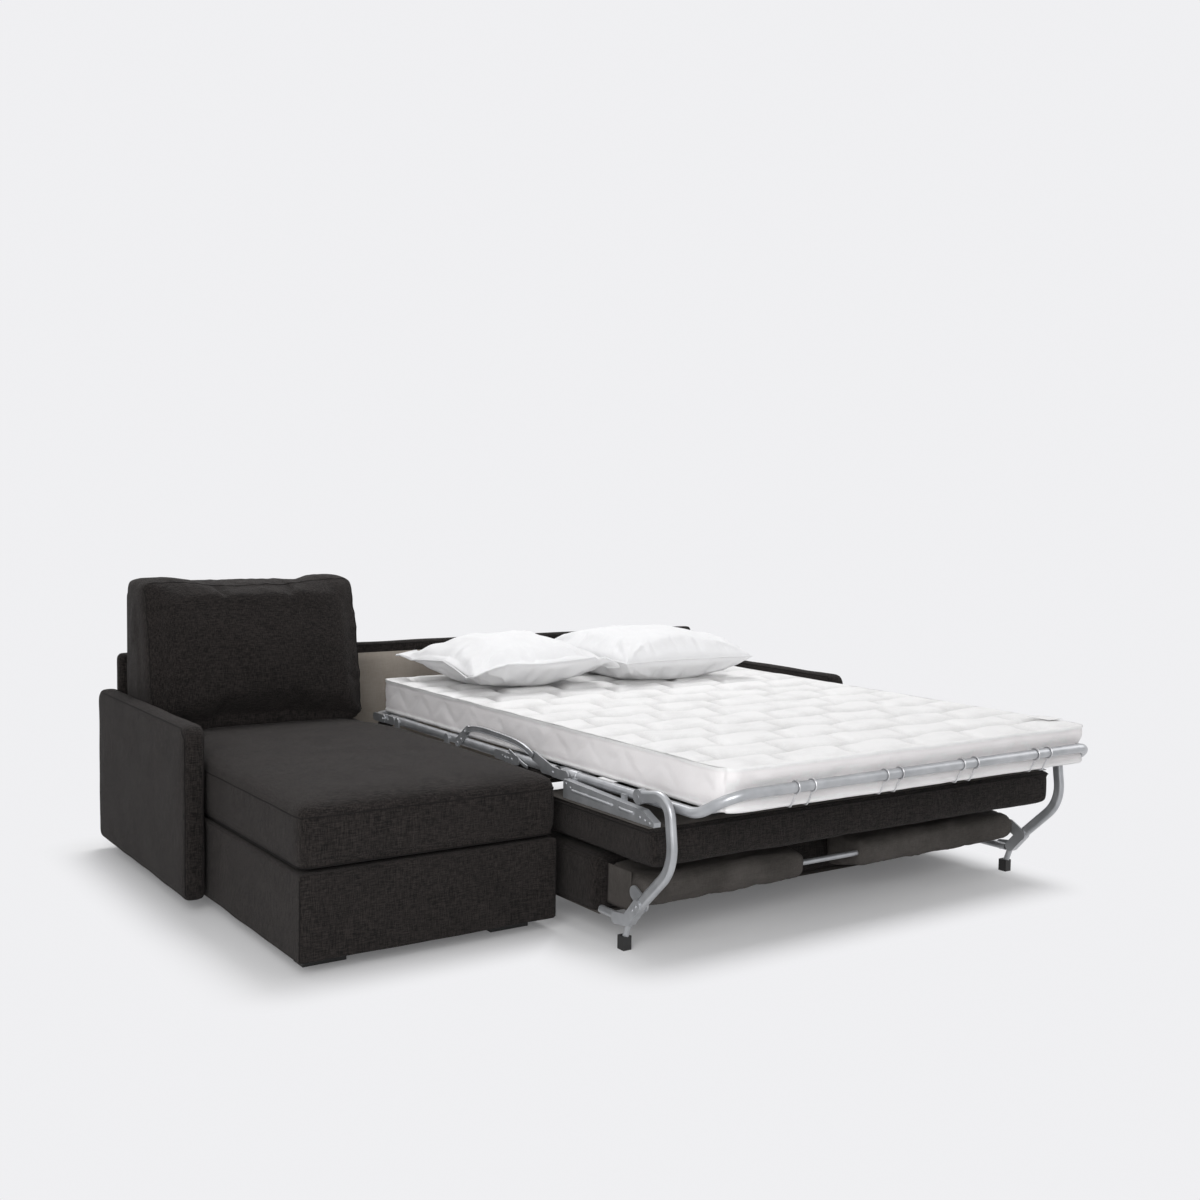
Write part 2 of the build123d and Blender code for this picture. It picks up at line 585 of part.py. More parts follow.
def foot_section():
    """The foot section: one bent tube with its raised front rail, wires, tie loops, mattress and the seat."""
    front_z = RAIL_Z + FRONT_RAIL_RISE
    bend_y = FRONT_RAIL_Y + RAIL_BEND_LENGTH
    left_half = [
        (RAIL_X, FOOT_FOLD_Y - RAIL_END, RAIL_Z),
        (RAIL_X, bend_y, RAIL_Z),
        (RAIL_X + RAIL_BEND_IN, FRONT_RAIL_Y, front_z),
    ]
    right_half = [(2 * BED_CENTRE - x, y, z) for x, y, z in reversed(left_half)]
    frame = tube(left_half + right_half, RAIL_DIAMETER, radii=[RAIL_BEND_RADIUS] * 4)
    lever = link((FOOT_FOLD_Y, RAIL_Z), STRUT_TIP, 2 * EAR_RADIUS, *LAYER_TWO)
    lever -= rod(FOOT_FOLD_Y, RAIL_Z, PIN_DIAMETER + 2 * PIN_PLAY, *LAYER_TWO)
    pivot_end = LEG_X - LEG_THICK / 2 - LAYER_GAP
    pivot = rod(LEG_PIVOT_Y, LEG_PIVOT_Z, LIFT_PIN, pivot_end, RAIL_OUTER + RAIL_RADIUS / 2)
    for side in both_sides(outer_ear(FOOT_FOLD_Y, -1) + lever + pivot):
        frame += side
    keep("foot_frame", frame)
    rear = FOOT_FOLD_Y - CROSS_INSET
    hooks_rear = MATTRESS_FRONT + HOOK_BACK
    keep("foot_cross_tubes", cross_tube(hooks_rear), cross_tube(rear))
    keep("foot_wires", wire_base(hooks_rear, rear))
    keep("mattress_foot", mattress_piece(MATTRESS_FRONT, FOOT_FOLD_Y - FOLD_CLEAR))
    ring_radius = RAIL_RADIUS + WIRE / 2 + CLEAR
    hooks = []
    for pair in WIRE_PAIRS:
        for side in (-WIRE_SPREAD / 2, WIRE_SPREAD / 2):
            x = BED_CENTRE + pair + side
            ring = Pos(x, FRONT_RAIL_Y, front_z) * Rot(0, 90, 0) * Torus(ring_radius, WIRE / 2)
            low = (x, FRONT_RAIL_Y, front_z - ring_radius)
            under = (x, MATTRESS_FRONT - WIRE, WIRE_Z)
            end = (x, hooks_rear - CLEAR, WIRE_Z)
            tail = tube([low, under, end], WIRE, radii=[2 * WIRE], wall=WIRE / 2 - CLEAR)
            hooks.append(ring + tail)
    keep("front_rail_hooks", *hooks)


def seat():
    """The sofa's seat, under the foot section: cushion, board, lining and the pressed bearers above it."""
    left, right = BED_CENTRE - SEAT_HALF_WIDTH, BED_CENTRE + SEAT_HALF_WIDTH
    rear = SEAT_FRONT + SEAT_DEPTH
    corners = [(SEAT_FRONT, SEAT_BOTTOM), (rear, SEAT_BOTTOM), (rear, SEAT_TOP), (SEAT_FRONT, SEAT_TOP)]
    bows = (SEAT_CROWN, SEAT_SIDE_CROWN, -REST_HOLLOW, SEAT_SIDE_CROWN)
    foam = cushion(left, right, corners, bows, SEAT_DRAW)
    inset = BOARD_MARGIN + SEAT_DRAW
    board_low, cut_top = SEAT_TOP - SEAT_BOARD, SEAT_TOP + CUT_OVER
    pocket = block(left + inset, right - inset, SEAT_FRONT + inset, rear - inset, board_low, cut_top)
    keep("seat_cushion", foam - pocket)
    gap = inset + CLEAR
    board = block(left + gap, right - gap, SEAT_FRONT + gap, rear - gap, board_low + CLEAR, SEAT_TOP)
    keep("seat_board", board)
    sheet_low = SEAT_TOP + CLEAR
    low = sheet_low + LINING
    x0, x1 = left + SEAT_DRAW, right - SEAT_DRAW
    keep("seat_lining", block(x0, x1, SEAT_FRONT + inset, rear - inset, sheet_low, low))
    outline = Polygon(
        (BEARER_REAR, low),
        (BEARER_REAR, low + BEARER_TALL),
        (BEARER_FRONT + BEARER_TALL, low + BEARER_LOW),
        (BEARER_FRONT, low + BEARER_LOW / 3),
        (BEARER_FRONT, low),
        align=None,
    )
    x0 = BED_CENTRE - BEARER_OFFSET
    bearer = upright(outline, x0, x0 + BEARER_WIDTH)
    bearer -= upright(offset(outline, -BEARER_WALL), x0 + BEARER_WALL, x0 + BEARER_WIDTH)
    for y in BEARER_BACKS:
        bearer += block(x0, RAIL_OUTER - CLEAR, y - HANGER / 2, y + HANGER / 2, low, low + HANGER)
        bearer += block(x0 + BEARER_WIDTH, RAIL_OUTER - CLEAR, y - HANGER / 2, y + HANGER / 2, low, RAIL_Z)
    left_bearer, right_bearer = both_sides(bearer)
    keep("seat_bearer_left", left_bearer)
    keep("seat_bearer_right", right_bearer)


def leg():
    """A curved leg: a flattened tube from its pivot round the seat to a plate with a short foot tube."""
    points = [(LEG_X, LEG_PIVOT_Y, LEG_PIVOT_Z)]
    for step_y, step_z in (LEG_SHOULDER, LEG_KNEE, LEG_ANKLE):
        points.append((LEG_X, LEG_PIVOT_Y + step_y, LEG_PIVOT_Z + step_z))
    path = FilletPolyline(*points, radius=[LEG_SHOULDER_RADIUS, LEG_KNEE_RADIUS])
    profile = RectangleRounded(LEG_THICK, LEG_WIDE, LEG_ROUND)
    body = sweep(Plane(path @ 0, x_dir=(1, 0, 0), z_dir=path % 0) * profile, path=path)
    x0, x1 = LEG_X - LEG_THICK / 2, LEG_X + LEG_THICK / 2
    body += rod(LEG_PIVOT_Y, LEG_PIVOT_Z, 2 * LEG_PIVOT_RADIUS, x0, x1)
    body -= rod(LEG_PIVOT_Y, LEG_PIVOT_Z, LIFT_PIN + 2 * PIN_PLAY, x0, x1)
    ankle = points[-1]
    foot_top = (LEG_FOOT_Y - RUBBER_SIZE, (ankle[2] + RUBBER_HEIGHT) / 2)
    body += link(ankle[1:], foot_top, LEG_WIDE, x0 - LEG_PLATE, x1)
    tube_hold = (SIDE_TUBE_FRONT + LEG_WIDE, BACK_LOW + SIDE_TUBE / 2)
    body += link(foot_top, tube_hold, LEG_WIDE, x0 - LEG_PLATE, x0 + PLATE_BITE - CLEAR)
    foot_end = (LEG_X, LEG_FOOT_Y, RUBBER_HEIGHT - RUBBER_SOCKET)
    body += tube([(LEG_X, *foot_top), foot_end], LEG_FOOT_TUBE, wall=LEG_FOOT_WALL)
    gusset_x = (x1 - PLATE_BITE, GUSSET_X + LEG_PLATE - CLEAR)
    gusset = link((BACK_TUBE_Y, BACK_TUBE_Z), ankle[1:], 2 * GUSSET_RADIUS, *gusset_x)
    return body + gusset


def backrest():
    """The backrest under the seat: legs with rubber feet, cross tube, side tubes, board, cushion, sleeves."""
    left, right = both_sides(leg())
    keep("leg_left", left)
    keep("leg_right", right)
    half = RUBBER_SIZE / 2
    top = RUBBER_HEIGHT
    rubber = block(LEG_X - half, LEG_X + half, LEG_FOOT_Y - half - RUBBER_TOE, LEG_FOOT_Y + half, 0, top)
    run = (LEG_FOOT_Y - RUBBER_SIZE, (LEG_PIVOT_Z + LEG_ANKLE[1] + RUBBER_HEIGHT) / 2)
    bore = LEG_FOOT_TUBE + 2 * RUBBER_PLAY
    socket = tube([(LEG_X, *run), (LEG_X, LEG_FOOT_Y, top - RUBBER_SOCKET)], bore, wall=LEG_FOOT_TUBE / 2)
    keep("leg_rubber_feet", *both_sides(rubber - socket))
    ends = [(x, BACK_TUBE_Y, BACK_TUBE_Z) for x in (BACK_TUBE_X, 2 * BED_CENTRE - BACK_TUBE_X)]
    keep("back_cross_tube", tube(ends, BACK_TUBE))
    x0, x1 = BED_CENTRE - BACK_HALF_WIDTH, BED_CENTRE + BACK_HALF_WIDTH
    rear = BACK_FRONT + BACK_LENGTH
    corners = [(BACK_FRONT, BACK_LOW), (rear, BACK_LOW), (rear, BACK_HIGH), (BACK_FRONT, BACK_HIGH)]
    bows = (-REST_HOLLOW, BACK_END_CROWN, BACK_CROWN, SEAT_SIDE_CROWN)
    foam = cushion(x0, x1, corners, bows, BACK_DRAW)
    inset = BOARD_MARGIN + BACK_DRAW
    cut_front, cut_low = BACK_FRONT - CUT_OVER, BACK_LOW - CUT_OVER
    pocket = block(x0 + inset, x1 - inset, cut_front, rear - inset, cut_low, BACK_LOW + SEAT_BOARD)
    keep("back_cushion", foam - pocket)
    gap = inset + CLEAR
    board_front = BACK_FRONT - BOARD_LIP
    board = block(x0 + gap, x1 - gap, board_front, rear - gap, BACK_LOW, BACK_LOW + SEAT_BOARD - CLEAR)
    keep("backrest_board", board)
    sheet_top = BACK_LOW - CLEAR
    sheet = block(x0 + inset, x1 - inset, board_front, rear - inset, sheet_top - LINING, sheet_top)
    keep("backrest_lining", sheet)
    z = BACK_LOW + SIDE_TUBE / 2
    x = LEG_X + SIDE_TUBE / 2 - LEG_THICK / 2 + PLATE_BITE
    tubes = both_sides(tube([(x, SIDE_TUBE_FRONT, z), (x, board_front - CLEAR, z)], SIDE_TUBE))
    keep("backrest_side_tubes", *tubes)
    nose_low, nose_high = BACK_TUBE_Z - SLEEVE_NOSE / 2, BACK_TUBE_Z + SLEEVE_NOSE / 2
    sleeve_rear = BACK_FRONT - BACK_DRAW - SLEEVE_GAP
    profile = [
        (SLEEVE_FRONT, nose_low),
        (sleeve_rear, SLEEVE_LOW),
        (sleeve_rear, SLEEVE_HIGH),
        (SLEEVE_FRONT, nose_high),
    ]
    bare_left, bare_right = (BED_CENTRE + edge for edge in SLEEVE_BARE)
    bore = rod(BACK_TUBE_Y, BACK_TUBE_Z, BACK_TUBE + 2 * CLEAR, x0, x1)
    spans = {"left": (BED_CENTRE - SLEEVE_OUT, bare_left), "right": (bare_right, BED_CENTRE + SLEEVE_OUT)}
    for name, (low, high) in spans.items():
        sleeve = cushion(low, high, profile, SLEEVE_BOWS, SLEEVE_DRAW)
        keep("backrest_sleeve_" + name, sleeve - bore)


def pillow(name, place, turn):
    """A plump pillow lying on the mattress: pinched ends and corners, a full middle and bulging sides."""
    sections = []
    for share, fullness in PILLOW_FULLNESS:
        half = PILLOW_DEEP / 2 - PILLOW_PINCH * fullness
        edge = (PILLOW_EDGE + (PILLOW_SIDE - PILLOW_EDGE) * fullness) / 2
        bow = (PILLOW_THICK - PILLOW_SIDE) / 2 * fullness + PILLOW_EDGE / 20
        bulge = PILLOW_BULGE * fullness + PILLOW_EDGE / 20
        corners = [(-half, -edge), (half, -edge), (half, edge), (-half, edge)]
        outline = padded_outline(corners, (bow, bulge, bow, bulge))
        sections.append(Plane.YZ.offset(share * PILLOW_LONG) * outline)
    shape = loft(sections)
    rest = MATTRESS_TOP + (PILLOW_THICK + PILLOW_EDGE / 10) / 2 + 2 * CLEAR
    keep(name, Pos(BED_CENTRE + place[0], HEAD_FOLD_Y - place[1], rest) * Rot(0, 0, turn) * shape)


chaise()
carcass()
base_mechanism()
lift_arms()
mid_section()
strut()
head_section()
bend_section()
foot_section()
seat()
backrest()
pillow("pillow_left", LEFT_PILLOW, PILLOW_TURN)
pillow("pillow_right", RIGHT_PILLOW, -PILLOW_TURN)

os.makedirs("parts", exist_ok=True)
for name, shape in parts.items():
    export_step(shape, os.path.join("parts", name + ".step"))
print(len(parts), "nodes written")
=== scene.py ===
# %% [markdown]
# # A corner sofa bed, opened for the night
# The steel frame and the boards come from the imported solids. This lesson dresses them: it sews the
# upholstery, quilts the mattress, fills the pillows and finishes the metal. Every new piece but the three
# lengths of the mattress rides on the body that carries it.

# %% Load the frame
import json
import math
import bmesh
import bpy
from mathutils import Matrix, Vector, noise
from mathutils.bvhtree import BVHTree


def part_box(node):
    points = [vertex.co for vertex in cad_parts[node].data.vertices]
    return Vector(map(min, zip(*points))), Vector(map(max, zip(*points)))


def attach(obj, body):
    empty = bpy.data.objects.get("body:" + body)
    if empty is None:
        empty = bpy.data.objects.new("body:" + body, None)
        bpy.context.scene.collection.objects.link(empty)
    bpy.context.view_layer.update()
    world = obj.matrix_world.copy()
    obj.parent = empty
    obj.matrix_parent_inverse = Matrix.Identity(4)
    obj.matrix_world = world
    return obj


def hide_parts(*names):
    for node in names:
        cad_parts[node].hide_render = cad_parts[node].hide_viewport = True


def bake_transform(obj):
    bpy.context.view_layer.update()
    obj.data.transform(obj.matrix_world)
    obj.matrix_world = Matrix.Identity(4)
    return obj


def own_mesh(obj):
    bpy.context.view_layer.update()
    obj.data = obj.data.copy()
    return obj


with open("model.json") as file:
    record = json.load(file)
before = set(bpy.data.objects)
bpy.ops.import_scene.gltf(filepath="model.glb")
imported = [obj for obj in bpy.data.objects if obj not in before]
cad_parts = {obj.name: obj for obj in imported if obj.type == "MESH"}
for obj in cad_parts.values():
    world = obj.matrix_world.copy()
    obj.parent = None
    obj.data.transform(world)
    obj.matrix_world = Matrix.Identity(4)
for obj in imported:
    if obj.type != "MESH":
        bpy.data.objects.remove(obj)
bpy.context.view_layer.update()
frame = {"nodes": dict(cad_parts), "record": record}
nodes = frame["nodes"]
scene = bpy.context.scene

# %% [markdown]
# ## Where things are
# The sofa was measured from the chaise's front left corner on the floor, in millimetres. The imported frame
# has its origin at the middle of the floor, in metres, so one small function turns the first into the second.

# %% Places
CORNER_X = -1.187
CORNER_Y = -0.47635
BED_CENTRE = 1567
RAIL_HEIGHT = 405


def spot(x, y, z):
    """A place measured from the chaise's front left corner in millimetres, as a point of the frame."""
    return Vector((CORNER_X + x / 1000, CORNER_Y + y / 1000, z / 1000))


BED_MIDDLE = spot(BED_CENTRE, 0, 0).x
print("bed middle", round(BED_MIDDLE, 4))

# %% [markdown]
# ## Camera
# The photograph was taken from the front left, a little above the mattress. The place, the turn and the
# lens were found by matching edges of known length, and they are set here as plain numbers.

# %% Camera
CAMERA_PLACE = spot(-1278.2, -3130.4, 1173.2)
CAMERA_YAW = 0.6014
CAMERA_PITCH = 0.0711
CAMERA_ROLL = 0.0157
CAMERA_LENS = 41.69
CAMERA_SENSOR = 36


def aim_camera():
    level = Vector((math.cos(CAMERA_YAW), -math.sin(CAMERA_YAW), 0))
    flat = math.cos(CAMERA_PITCH)
    ahead = Vector((math.sin(CAMERA_YAW) * flat, math.cos(CAMERA_YAW) * flat, -math.sin(CAMERA_PITCH)))
    above = level.cross(ahead)
    right = level * math.cos(CAMERA_ROLL) + above * math.sin(CAMERA_ROLL)
    up = above * math.cos(CAMERA_ROLL) - level * math.sin(CAMERA_ROLL)
    turn = Matrix((right, up, -ahead)).transposed().to_4x4()
    data = bpy.data.cameras.new("photo_camera")
    data.lens = CAMERA_LENS
    data.sensor_width = CAMERA_SENSOR
    data.sensor_fit = "HORIZONTAL"
    camera = bpy.data.objects.new("photo_camera", data)
    camera.matrix_world = Matrix.Translation(CAMERA_PLACE) @ turn
    scene.collection.objects.link(camera)
    scene.camera = camera


aim_camera()

# %% [markdown]
# ## Floor, light and background
# A studio sweep: a pale floor before a pale background, a soft lamp high over the back, a large one at the
# front left, a weak one on the right, and an even sky. The background's brightness is seen by the camera
# only, so the object isn't lit by it. The floor fades into the same tone a short way from the sofa, so only
# the shadow close to it is seen.

# %% Studio
BACKDROP = 0.868
BACKDROP_COLOUR = (BACKDROP, BACKDROP, BACKDROP * 1.02, 1)
SKY_COLOUR = (0.98, 0.98, 1.0, 1)
SKY_STRENGTH = 0.50
FLOOR_COLOUR = (0.84, 0.84, 0.84, 1)
FLOOR_RADIUS = 14
SHADOW_START = -0.04
SHADOW_REACH = 0.20
SHADOW_LIFT = 0.05
SHADOW_BOXES = (
    ((-1.26, -0.48), (-0.44, 1.07)),
    ((-0.44, -0.84), (1.06, 1.07)),
    ((1.06, 0.20), (1.26, 1.07)),
)


def set_inputs(node, **values):
    """Plain values on a node's sockets; an underscore stands for a space in a socket's name."""
    for label, value in values.items():
        node.inputs[label.replace("_", " ")].default_value = value


def add_node(tree, kind, **values):
    node = tree.nodes.new("ShaderNode" + kind)
    set_inputs(node, **values)
    return node


def math_node(tree, operation, first, second=None, third=None):
    node = add_node(tree, "Math")
    node.operation = operation
    for index, value in enumerate((first, second, third)):
        if value is None:
            continue
        if isinstance(value, (int, float)):
            node.inputs[index].default_value = value
        else:
            tree.links.new(value, node.inputs[index])
    return node.outputs[0]


def seen_directly(tree):
    """A mask: 1 for what the camera sees directly or in a mirror, and 0 for light that falls on things."""
    path = add_node(tree, "LightPath")
    seen = math_node(tree, "MAXIMUM", path.outputs["Is Camera Ray"], path.outputs["Is Glossy Ray"])
    return math_node(tree, "MAXIMUM", seen, path.outputs["Is Transmission Ray"])


def mix_surfaces(tree, mask, first, second, out):
    """Shows the first surface where the mask is 0 and the second where it is 1."""
    mix = add_node(tree, "MixShader")
    for value, socket in zip((mask, first.outputs[0], second.outputs[0]), mix.inputs):
        tree.links.new(value, socket)
    tree.links.new(mix.outputs[0], out.inputs["Surface"])


def build_world():
    world = bpy.data.worlds.new("studio")
    world.use_nodes = True
    tree = world.node_tree
    tree.nodes.clear()
    sky = add_node(tree, "Background", Color=SKY_COLOUR, Strength=SKY_STRENGTH)
    wall = add_node(tree, "Background", Color=BACKDROP_COLOUR)
    mix_surfaces(tree, seen_directly(tree), sky, wall, add_node(tree, "OutputWorld"))
    scene.world = world


def footprint_distance(tree, place):
    """How far a floor point lies from the sofa's plan: the chaise, the opened bed and the right arm."""
    nearest = None
    for low, high in SHADOW_BOXES:
        middle = [(a + b) / 2 for a, b in zip(low, high)]
        half = [(b - a) / 2 for a, b in zip(low, high)]
        outside = []
        for axis, centre, size in zip("XY", middle, half):
            away = math_node(tree, "ABSOLUTE", math_node(tree, "SUBTRACT", place.outputs[axis], centre))
            outside.append(math_node(tree, "MAXIMUM", math_node(tree, "SUBTRACT", away, size), 0.0))
        squares = [math_node(tree, "POWER", value, 2.0) for value in outside]
        distance = math_node(tree, "SQRT", math_node(tree, "ADD", *squares))
        nearest = distance if nearest is None else math_node(tree, "MINIMUM", nearest, distance)
    return nearest


def build_floor():
    bm = bmesh.new()
    bmesh.ops.create_circle(bm, cap_ends=True, segments=96, radius=FLOOR_RADIUS)
    mesh = bpy.data.meshes.new("floor")
    bm.to_mesh(mesh)
    bm.free()
    floor = bpy.data.objects.new("floor", mesh)
    scene.collection.objects.link(floor)
    material = bpy.data.materials.new("pale_floor")
    material.use_nodes = True
    tree = material.node_tree
    shader = tree.nodes["Principled BSDF"]
    set_inputs(shader, Base_Color=FLOOR_COLOUR, Roughness=0.7, Specular_IOR_Level=0.15)
    split = add_node(tree, "SeparateXYZ")
    tree.links.new(add_node(tree, "TexCoord").outputs["Object"], split.inputs[0])
    fade = add_node(tree, "MapRange", From_Min=SHADOW_START, From_Max=SHADOW_REACH, To_Min=SHADOW_LIFT)
    fade.interpolation_type = "SMOOTHSTEP"
    tree.links.new(footprint_distance(tree, split), fade.inputs["Value"])
    wall = add_node(tree, "Emission", Color=BACKDROP_COLOUR)
    mask = math_node(tree, "MULTIPLY", seen_directly(tree), fade.outputs["Result"])
    mix_surfaces(tree, mask, shader, wall, tree.nodes["Material Output"])
    mesh.materials.append(material)


def add_lamp(name, place, target, size, watts):
    data = bpy.data.lights.new(name, "AREA")
    data.shape = "DISK"
    data.size = size
    data.energy = watts
    lamp = bpy.data.objects.new(name, data)
    lamp.location = place
    lamp.rotation_euler = (Vector(target) - Vector(place)).to_track_quat("-Z", "Y").to_euler()
    scene.collection.objects.link(lamp)


build_world()
build_floor()
add_lamp("key_lamp", (0.5, 2.0, 4.2), (0.2, -0.2, 0.3), 3.0, 105)
add_lamp("fill_lamp", (-3.4, -3.7, 2.3), (0, 0, 0.3), 3.2, 135)
add_lamp("side_lamp", (4.2, -2.0, 2.2), (0.4, 0, 0.3), 2.4, 30)
scene.view_settings.view_transform = "Standard"
print("studio ready")

# %% [markdown]
# ## Shader groups
# Cloth, lining, ticking and cotton all show threads, and all of them are uneven. Both effects are made once
# as node groups with their own inputs. The weave multiplies waves along the three axes, so a flat side in any
# direction shows crossing threads. The mottle has soft clouds, short flecks both ways and a fine grain.

# %% Node groups
SLUB_SCALE = 150.0
SLUB_SWAY = 16.0
GRAIN_SCALE = 900
FLECKS_ACROSS = (45, 420, 420)
FLECKS_ALONG = (420, 420, 45)


def new_group(name, inputs, outputs):
    group = bpy.data.node_groups.new(name, "ShaderNodeTree")
    for label, value in inputs.items():
        socket = group.interface.new_socket(label, in_out="INPUT", socket_type="NodeSocketFloat")
        socket.default_value = value
    for label in outputs:
        group.interface.new_socket(label, in_out="OUTPUT", socket_type="NodeSocketFloat")
    return group, group.nodes.new("NodeGroupInput"), group.nodes.new("NodeGroupOutput")


def weave_group():
    """Crossing threads: Height is 0 between threads and 1 on top of them."""
    group, given, out = new_group("crossing_threads", {"Threads": 2600.0}, ("Height",))
    place = add_node(group, "TexCoord").outputs["Object"]
    split = add_node(group, "SeparateXYZ")
    group.links.new(place, split.inputs[0])
    slub = add_node(group, "TexNoise", Scale=SLUB_SCALE, Detail=1.0)
    group.links.new(place, slub.inputs["Vector"])
    waves = []
    for axis in "XYZ":
        angle = math_node(group, "MULTIPLY", split.outputs[axis], given.outputs["Threads"])
        angle = math_node(group, "MULTIPLY_ADD", slub.outputs["Fac"], SLUB_SWAY, angle)
        waves.append(math_node(group, "SINE", angle))
    total = None
    for first, second in ((0, 1), (1, 2), (2, 0)):
        product = math_node(group, "MULTIPLY", waves[first], waves[second])
        total = product if total is None else math_node(group, "ADD", total, product)
    group.links.new(math_node(group, "MULTIPLY_ADD", total, 0.28, 0.5), out.inputs["Height"])
    return group


def mottle_group():
    """Uneven dye: Clouds are broad, Flecks are short streaks along and across, Grain is fine."""
    sizes = {"Cloud size": 9.0, "Fleck size": 1.0}
    group, given, out = new_group("uneven_dye", sizes, ("Clouds", "Flecks", "Grain"))
    place = add_node(group, "TexCoord").outputs["Object"]

    def clouds(scale, detail, stretch=None):
        source = place
        if stretch:
            mapping = add_node(group, "Mapping", Scale=stretch)
            group.links.new(place, mapping.inputs["Vector"])
            source = mapping.outputs["Vector"]
        texture = add_node(group, "TexNoise", Detail=detail)
        if isinstance(scale, (int, float)):
            set_inputs(texture, Scale=scale)
        else:
            group.links.new(scale, texture.inputs["Scale"])
        group.links.new(source, texture.inputs["Vector"])
        return texture.outputs["Fac"]

    group.links.new(clouds(given.outputs["Cloud size"], 4), out.inputs["Clouds"])
    across = clouds(given.outputs["Fleck size"], 2, FLECKS_ACROSS)
    along = clouds(given.outputs["Fleck size"], 2, FLECKS_ALONG)
    both = math_node(group, "ADD", across, along)
    group.links.new(math_node(group, "MULTIPLY_ADD", both, 0.5, 0), out.inputs["Flecks"])
    group.links.new(clouds(GRAIN_SCALE, 2), out.inputs["Grain"])
    return group


WEAVE = weave_group()
MOTTLE = mottle_group()
print("groups", WEAVE.name, MOTTLE.name)

# %% [markdown]
# ## Finishes
# A finish is a Principled shader whose colour runs between a dark and a light tone. Cloth takes its tone from
# the flecks and clouds and its bump from the threads. Metal takes scuffs from the same clouds. Values that
# are the same all over, such as sheen and coat, are set straight on the shader.

# %% Materials
SHEEN_TINT = (1.0, 0.95, 0.92, 1)


def place_group(tree, group, **values):
    node = tree.nodes.new("ShaderNodeGroup")
    node.node_tree = group
    set_inputs(node, **values)
    return node


def tone_ramp(tree, factor, dark, light, low=0.3, high=0.7):
    ramp = add_node(tree, "ValToRGB")
    for stop, place, colour in zip(ramp.color_ramp.elements, (low, high), (dark, light)):
        stop.position = place
        stop.color = (*colour, 1)
    tree.links.new(factor, ramp.inputs["Fac"])
    return ramp.outputs["Color"]


def add_bump(tree, shader, height, depth, strength=1.0):
    bump = add_node(tree, "Bump", Strength=strength, Distance=depth)
    tree.links.new(height, bump.inputs["Height"])
    tree.links.new(bump.outputs["Normal"], shader.inputs["Normal"])


def new_finish(name):
    material = bpy.data.materials.new(name)
    material.use_nodes = True
    return material, material.node_tree, material.node_tree.nodes["Principled BSDF"]


def cloth_finish(name, dark, light, threads, depth, sheen=0.0, fleck=0.6, low=0.3, high=0.7, hollow_shade=0.0):
    """Woven cloth: flecks and clouds set its tone and threads its relief; where it is quilted, painted shade
    darkens its hollows.
    """
    material, tree, shader = new_finish(name)
    weave = place_group(tree, WEAVE, Threads=threads)
    dye = place_group(tree, MOTTLE, Cloud_size=9.0, Fleck_size=1.0)
    broad = math_node(tree, "MULTIPLY", dye.outputs["Clouds"], 1 - fleck)
    tone = math_node(tree, "MULTIPLY_ADD", dye.outputs["Flecks"], fleck, broad)
    # Painted shade: the quilting's depth, kept on the mesh, darkens the tone in the hollows.
    if hollow_shade:
        drawn = add_node(tree, "Attribute")
        drawn.attribute_name = "quilt"
        tone = math_node(tree, "MULTIPLY_ADD", drawn.outputs["Fac"], -hollow_shade, tone)
    tree.links.new(tone_ramp(tree, tone, dark, light, low, high), shader.inputs["Base Color"])
    grain = math_node(tree, "MULTIPLY_ADD", dye.outputs["Grain"], 0.6, weave.outputs["Height"])
    relief = math_node(tree, "MULTIPLY_ADD", dye.outputs["Flecks"], 1.2, grain)
    add_bump(tree, shader, relief, depth)
    set_inputs(shader, Roughness=0.9, Specular_IOR_Level=0.2)
    set_inputs(shader, Sheen_Weight=sheen, Sheen_Roughness=0.3, Sheen_Tint=SHEEN_TINT)
    return material


def steel_finish(name, dark, light, metallic, rough, coat=0.0):
    """Painted or bright steel: scuffs vary its roughness and a fine orange peel its relief."""
    material, tree, shader = new_finish(name)
    dye = place_group(tree, MOTTLE, Cloud_size=22.0, Fleck_size=1.0)
    tree.links.new(tone_ramp(tree, dye.outputs["Clouds"], dark, light), shader.inputs["Base Color"])
    scuffs = math_node(tree, "MULTIPLY_ADD", dye.outputs["Clouds"], 0.22, rough - 0.11)
    tree.links.new(scuffs, shader.inputs["Roughness"])
    add_bump(tree, shader, dye.outputs["Grain"], 0.0002, 0.35)
    set_inputs(shader, Metallic=metallic, Coat_Weight=coat, Coat_Roughness=0.3)
    return material


def moulded_finish(name, dark, light, rough):
    """Moulded rubber or plastic with a fine grain."""
    material, tree, shader = new_finish(name)
    dye = place_group(tree, MOTTLE, Cloud_size=40.0, Fleck_size=1.0)
    tree.links.new(tone_ramp(tree, dye.outputs["Grain"], dark, light), shader.inputs["Base Color"])
    wear = math_node(tree, "MULTIPLY_ADD", dye.outputs["Clouds"], 0.15, rough - 0.07)
    tree.links.new(wear, shader.inputs["Roughness"])
    add_bump(tree, shader, dye.outputs["Grain"], 0.0003, 0.5)
    return material


def board_finish():
    """Raw board: long grain along the piece."""
    material, tree, shader = new_finish("raw_board")
    dye = place_group(tree, MOTTLE, Cloud_size=5.0, Fleck_size=0.35)
    tone = tone_ramp(tree, dye.outputs["Flecks"], (0.36, 0.25, 0.14), (0.58, 0.44, 0.28))
    tree.links.new(tone, shader.inputs["Base Color"])
    add_bump(tree, shader, dye.outputs["Flecks"], 0.0005, 0.4)
    set_inputs(shader, Roughness=0.75)
    return material


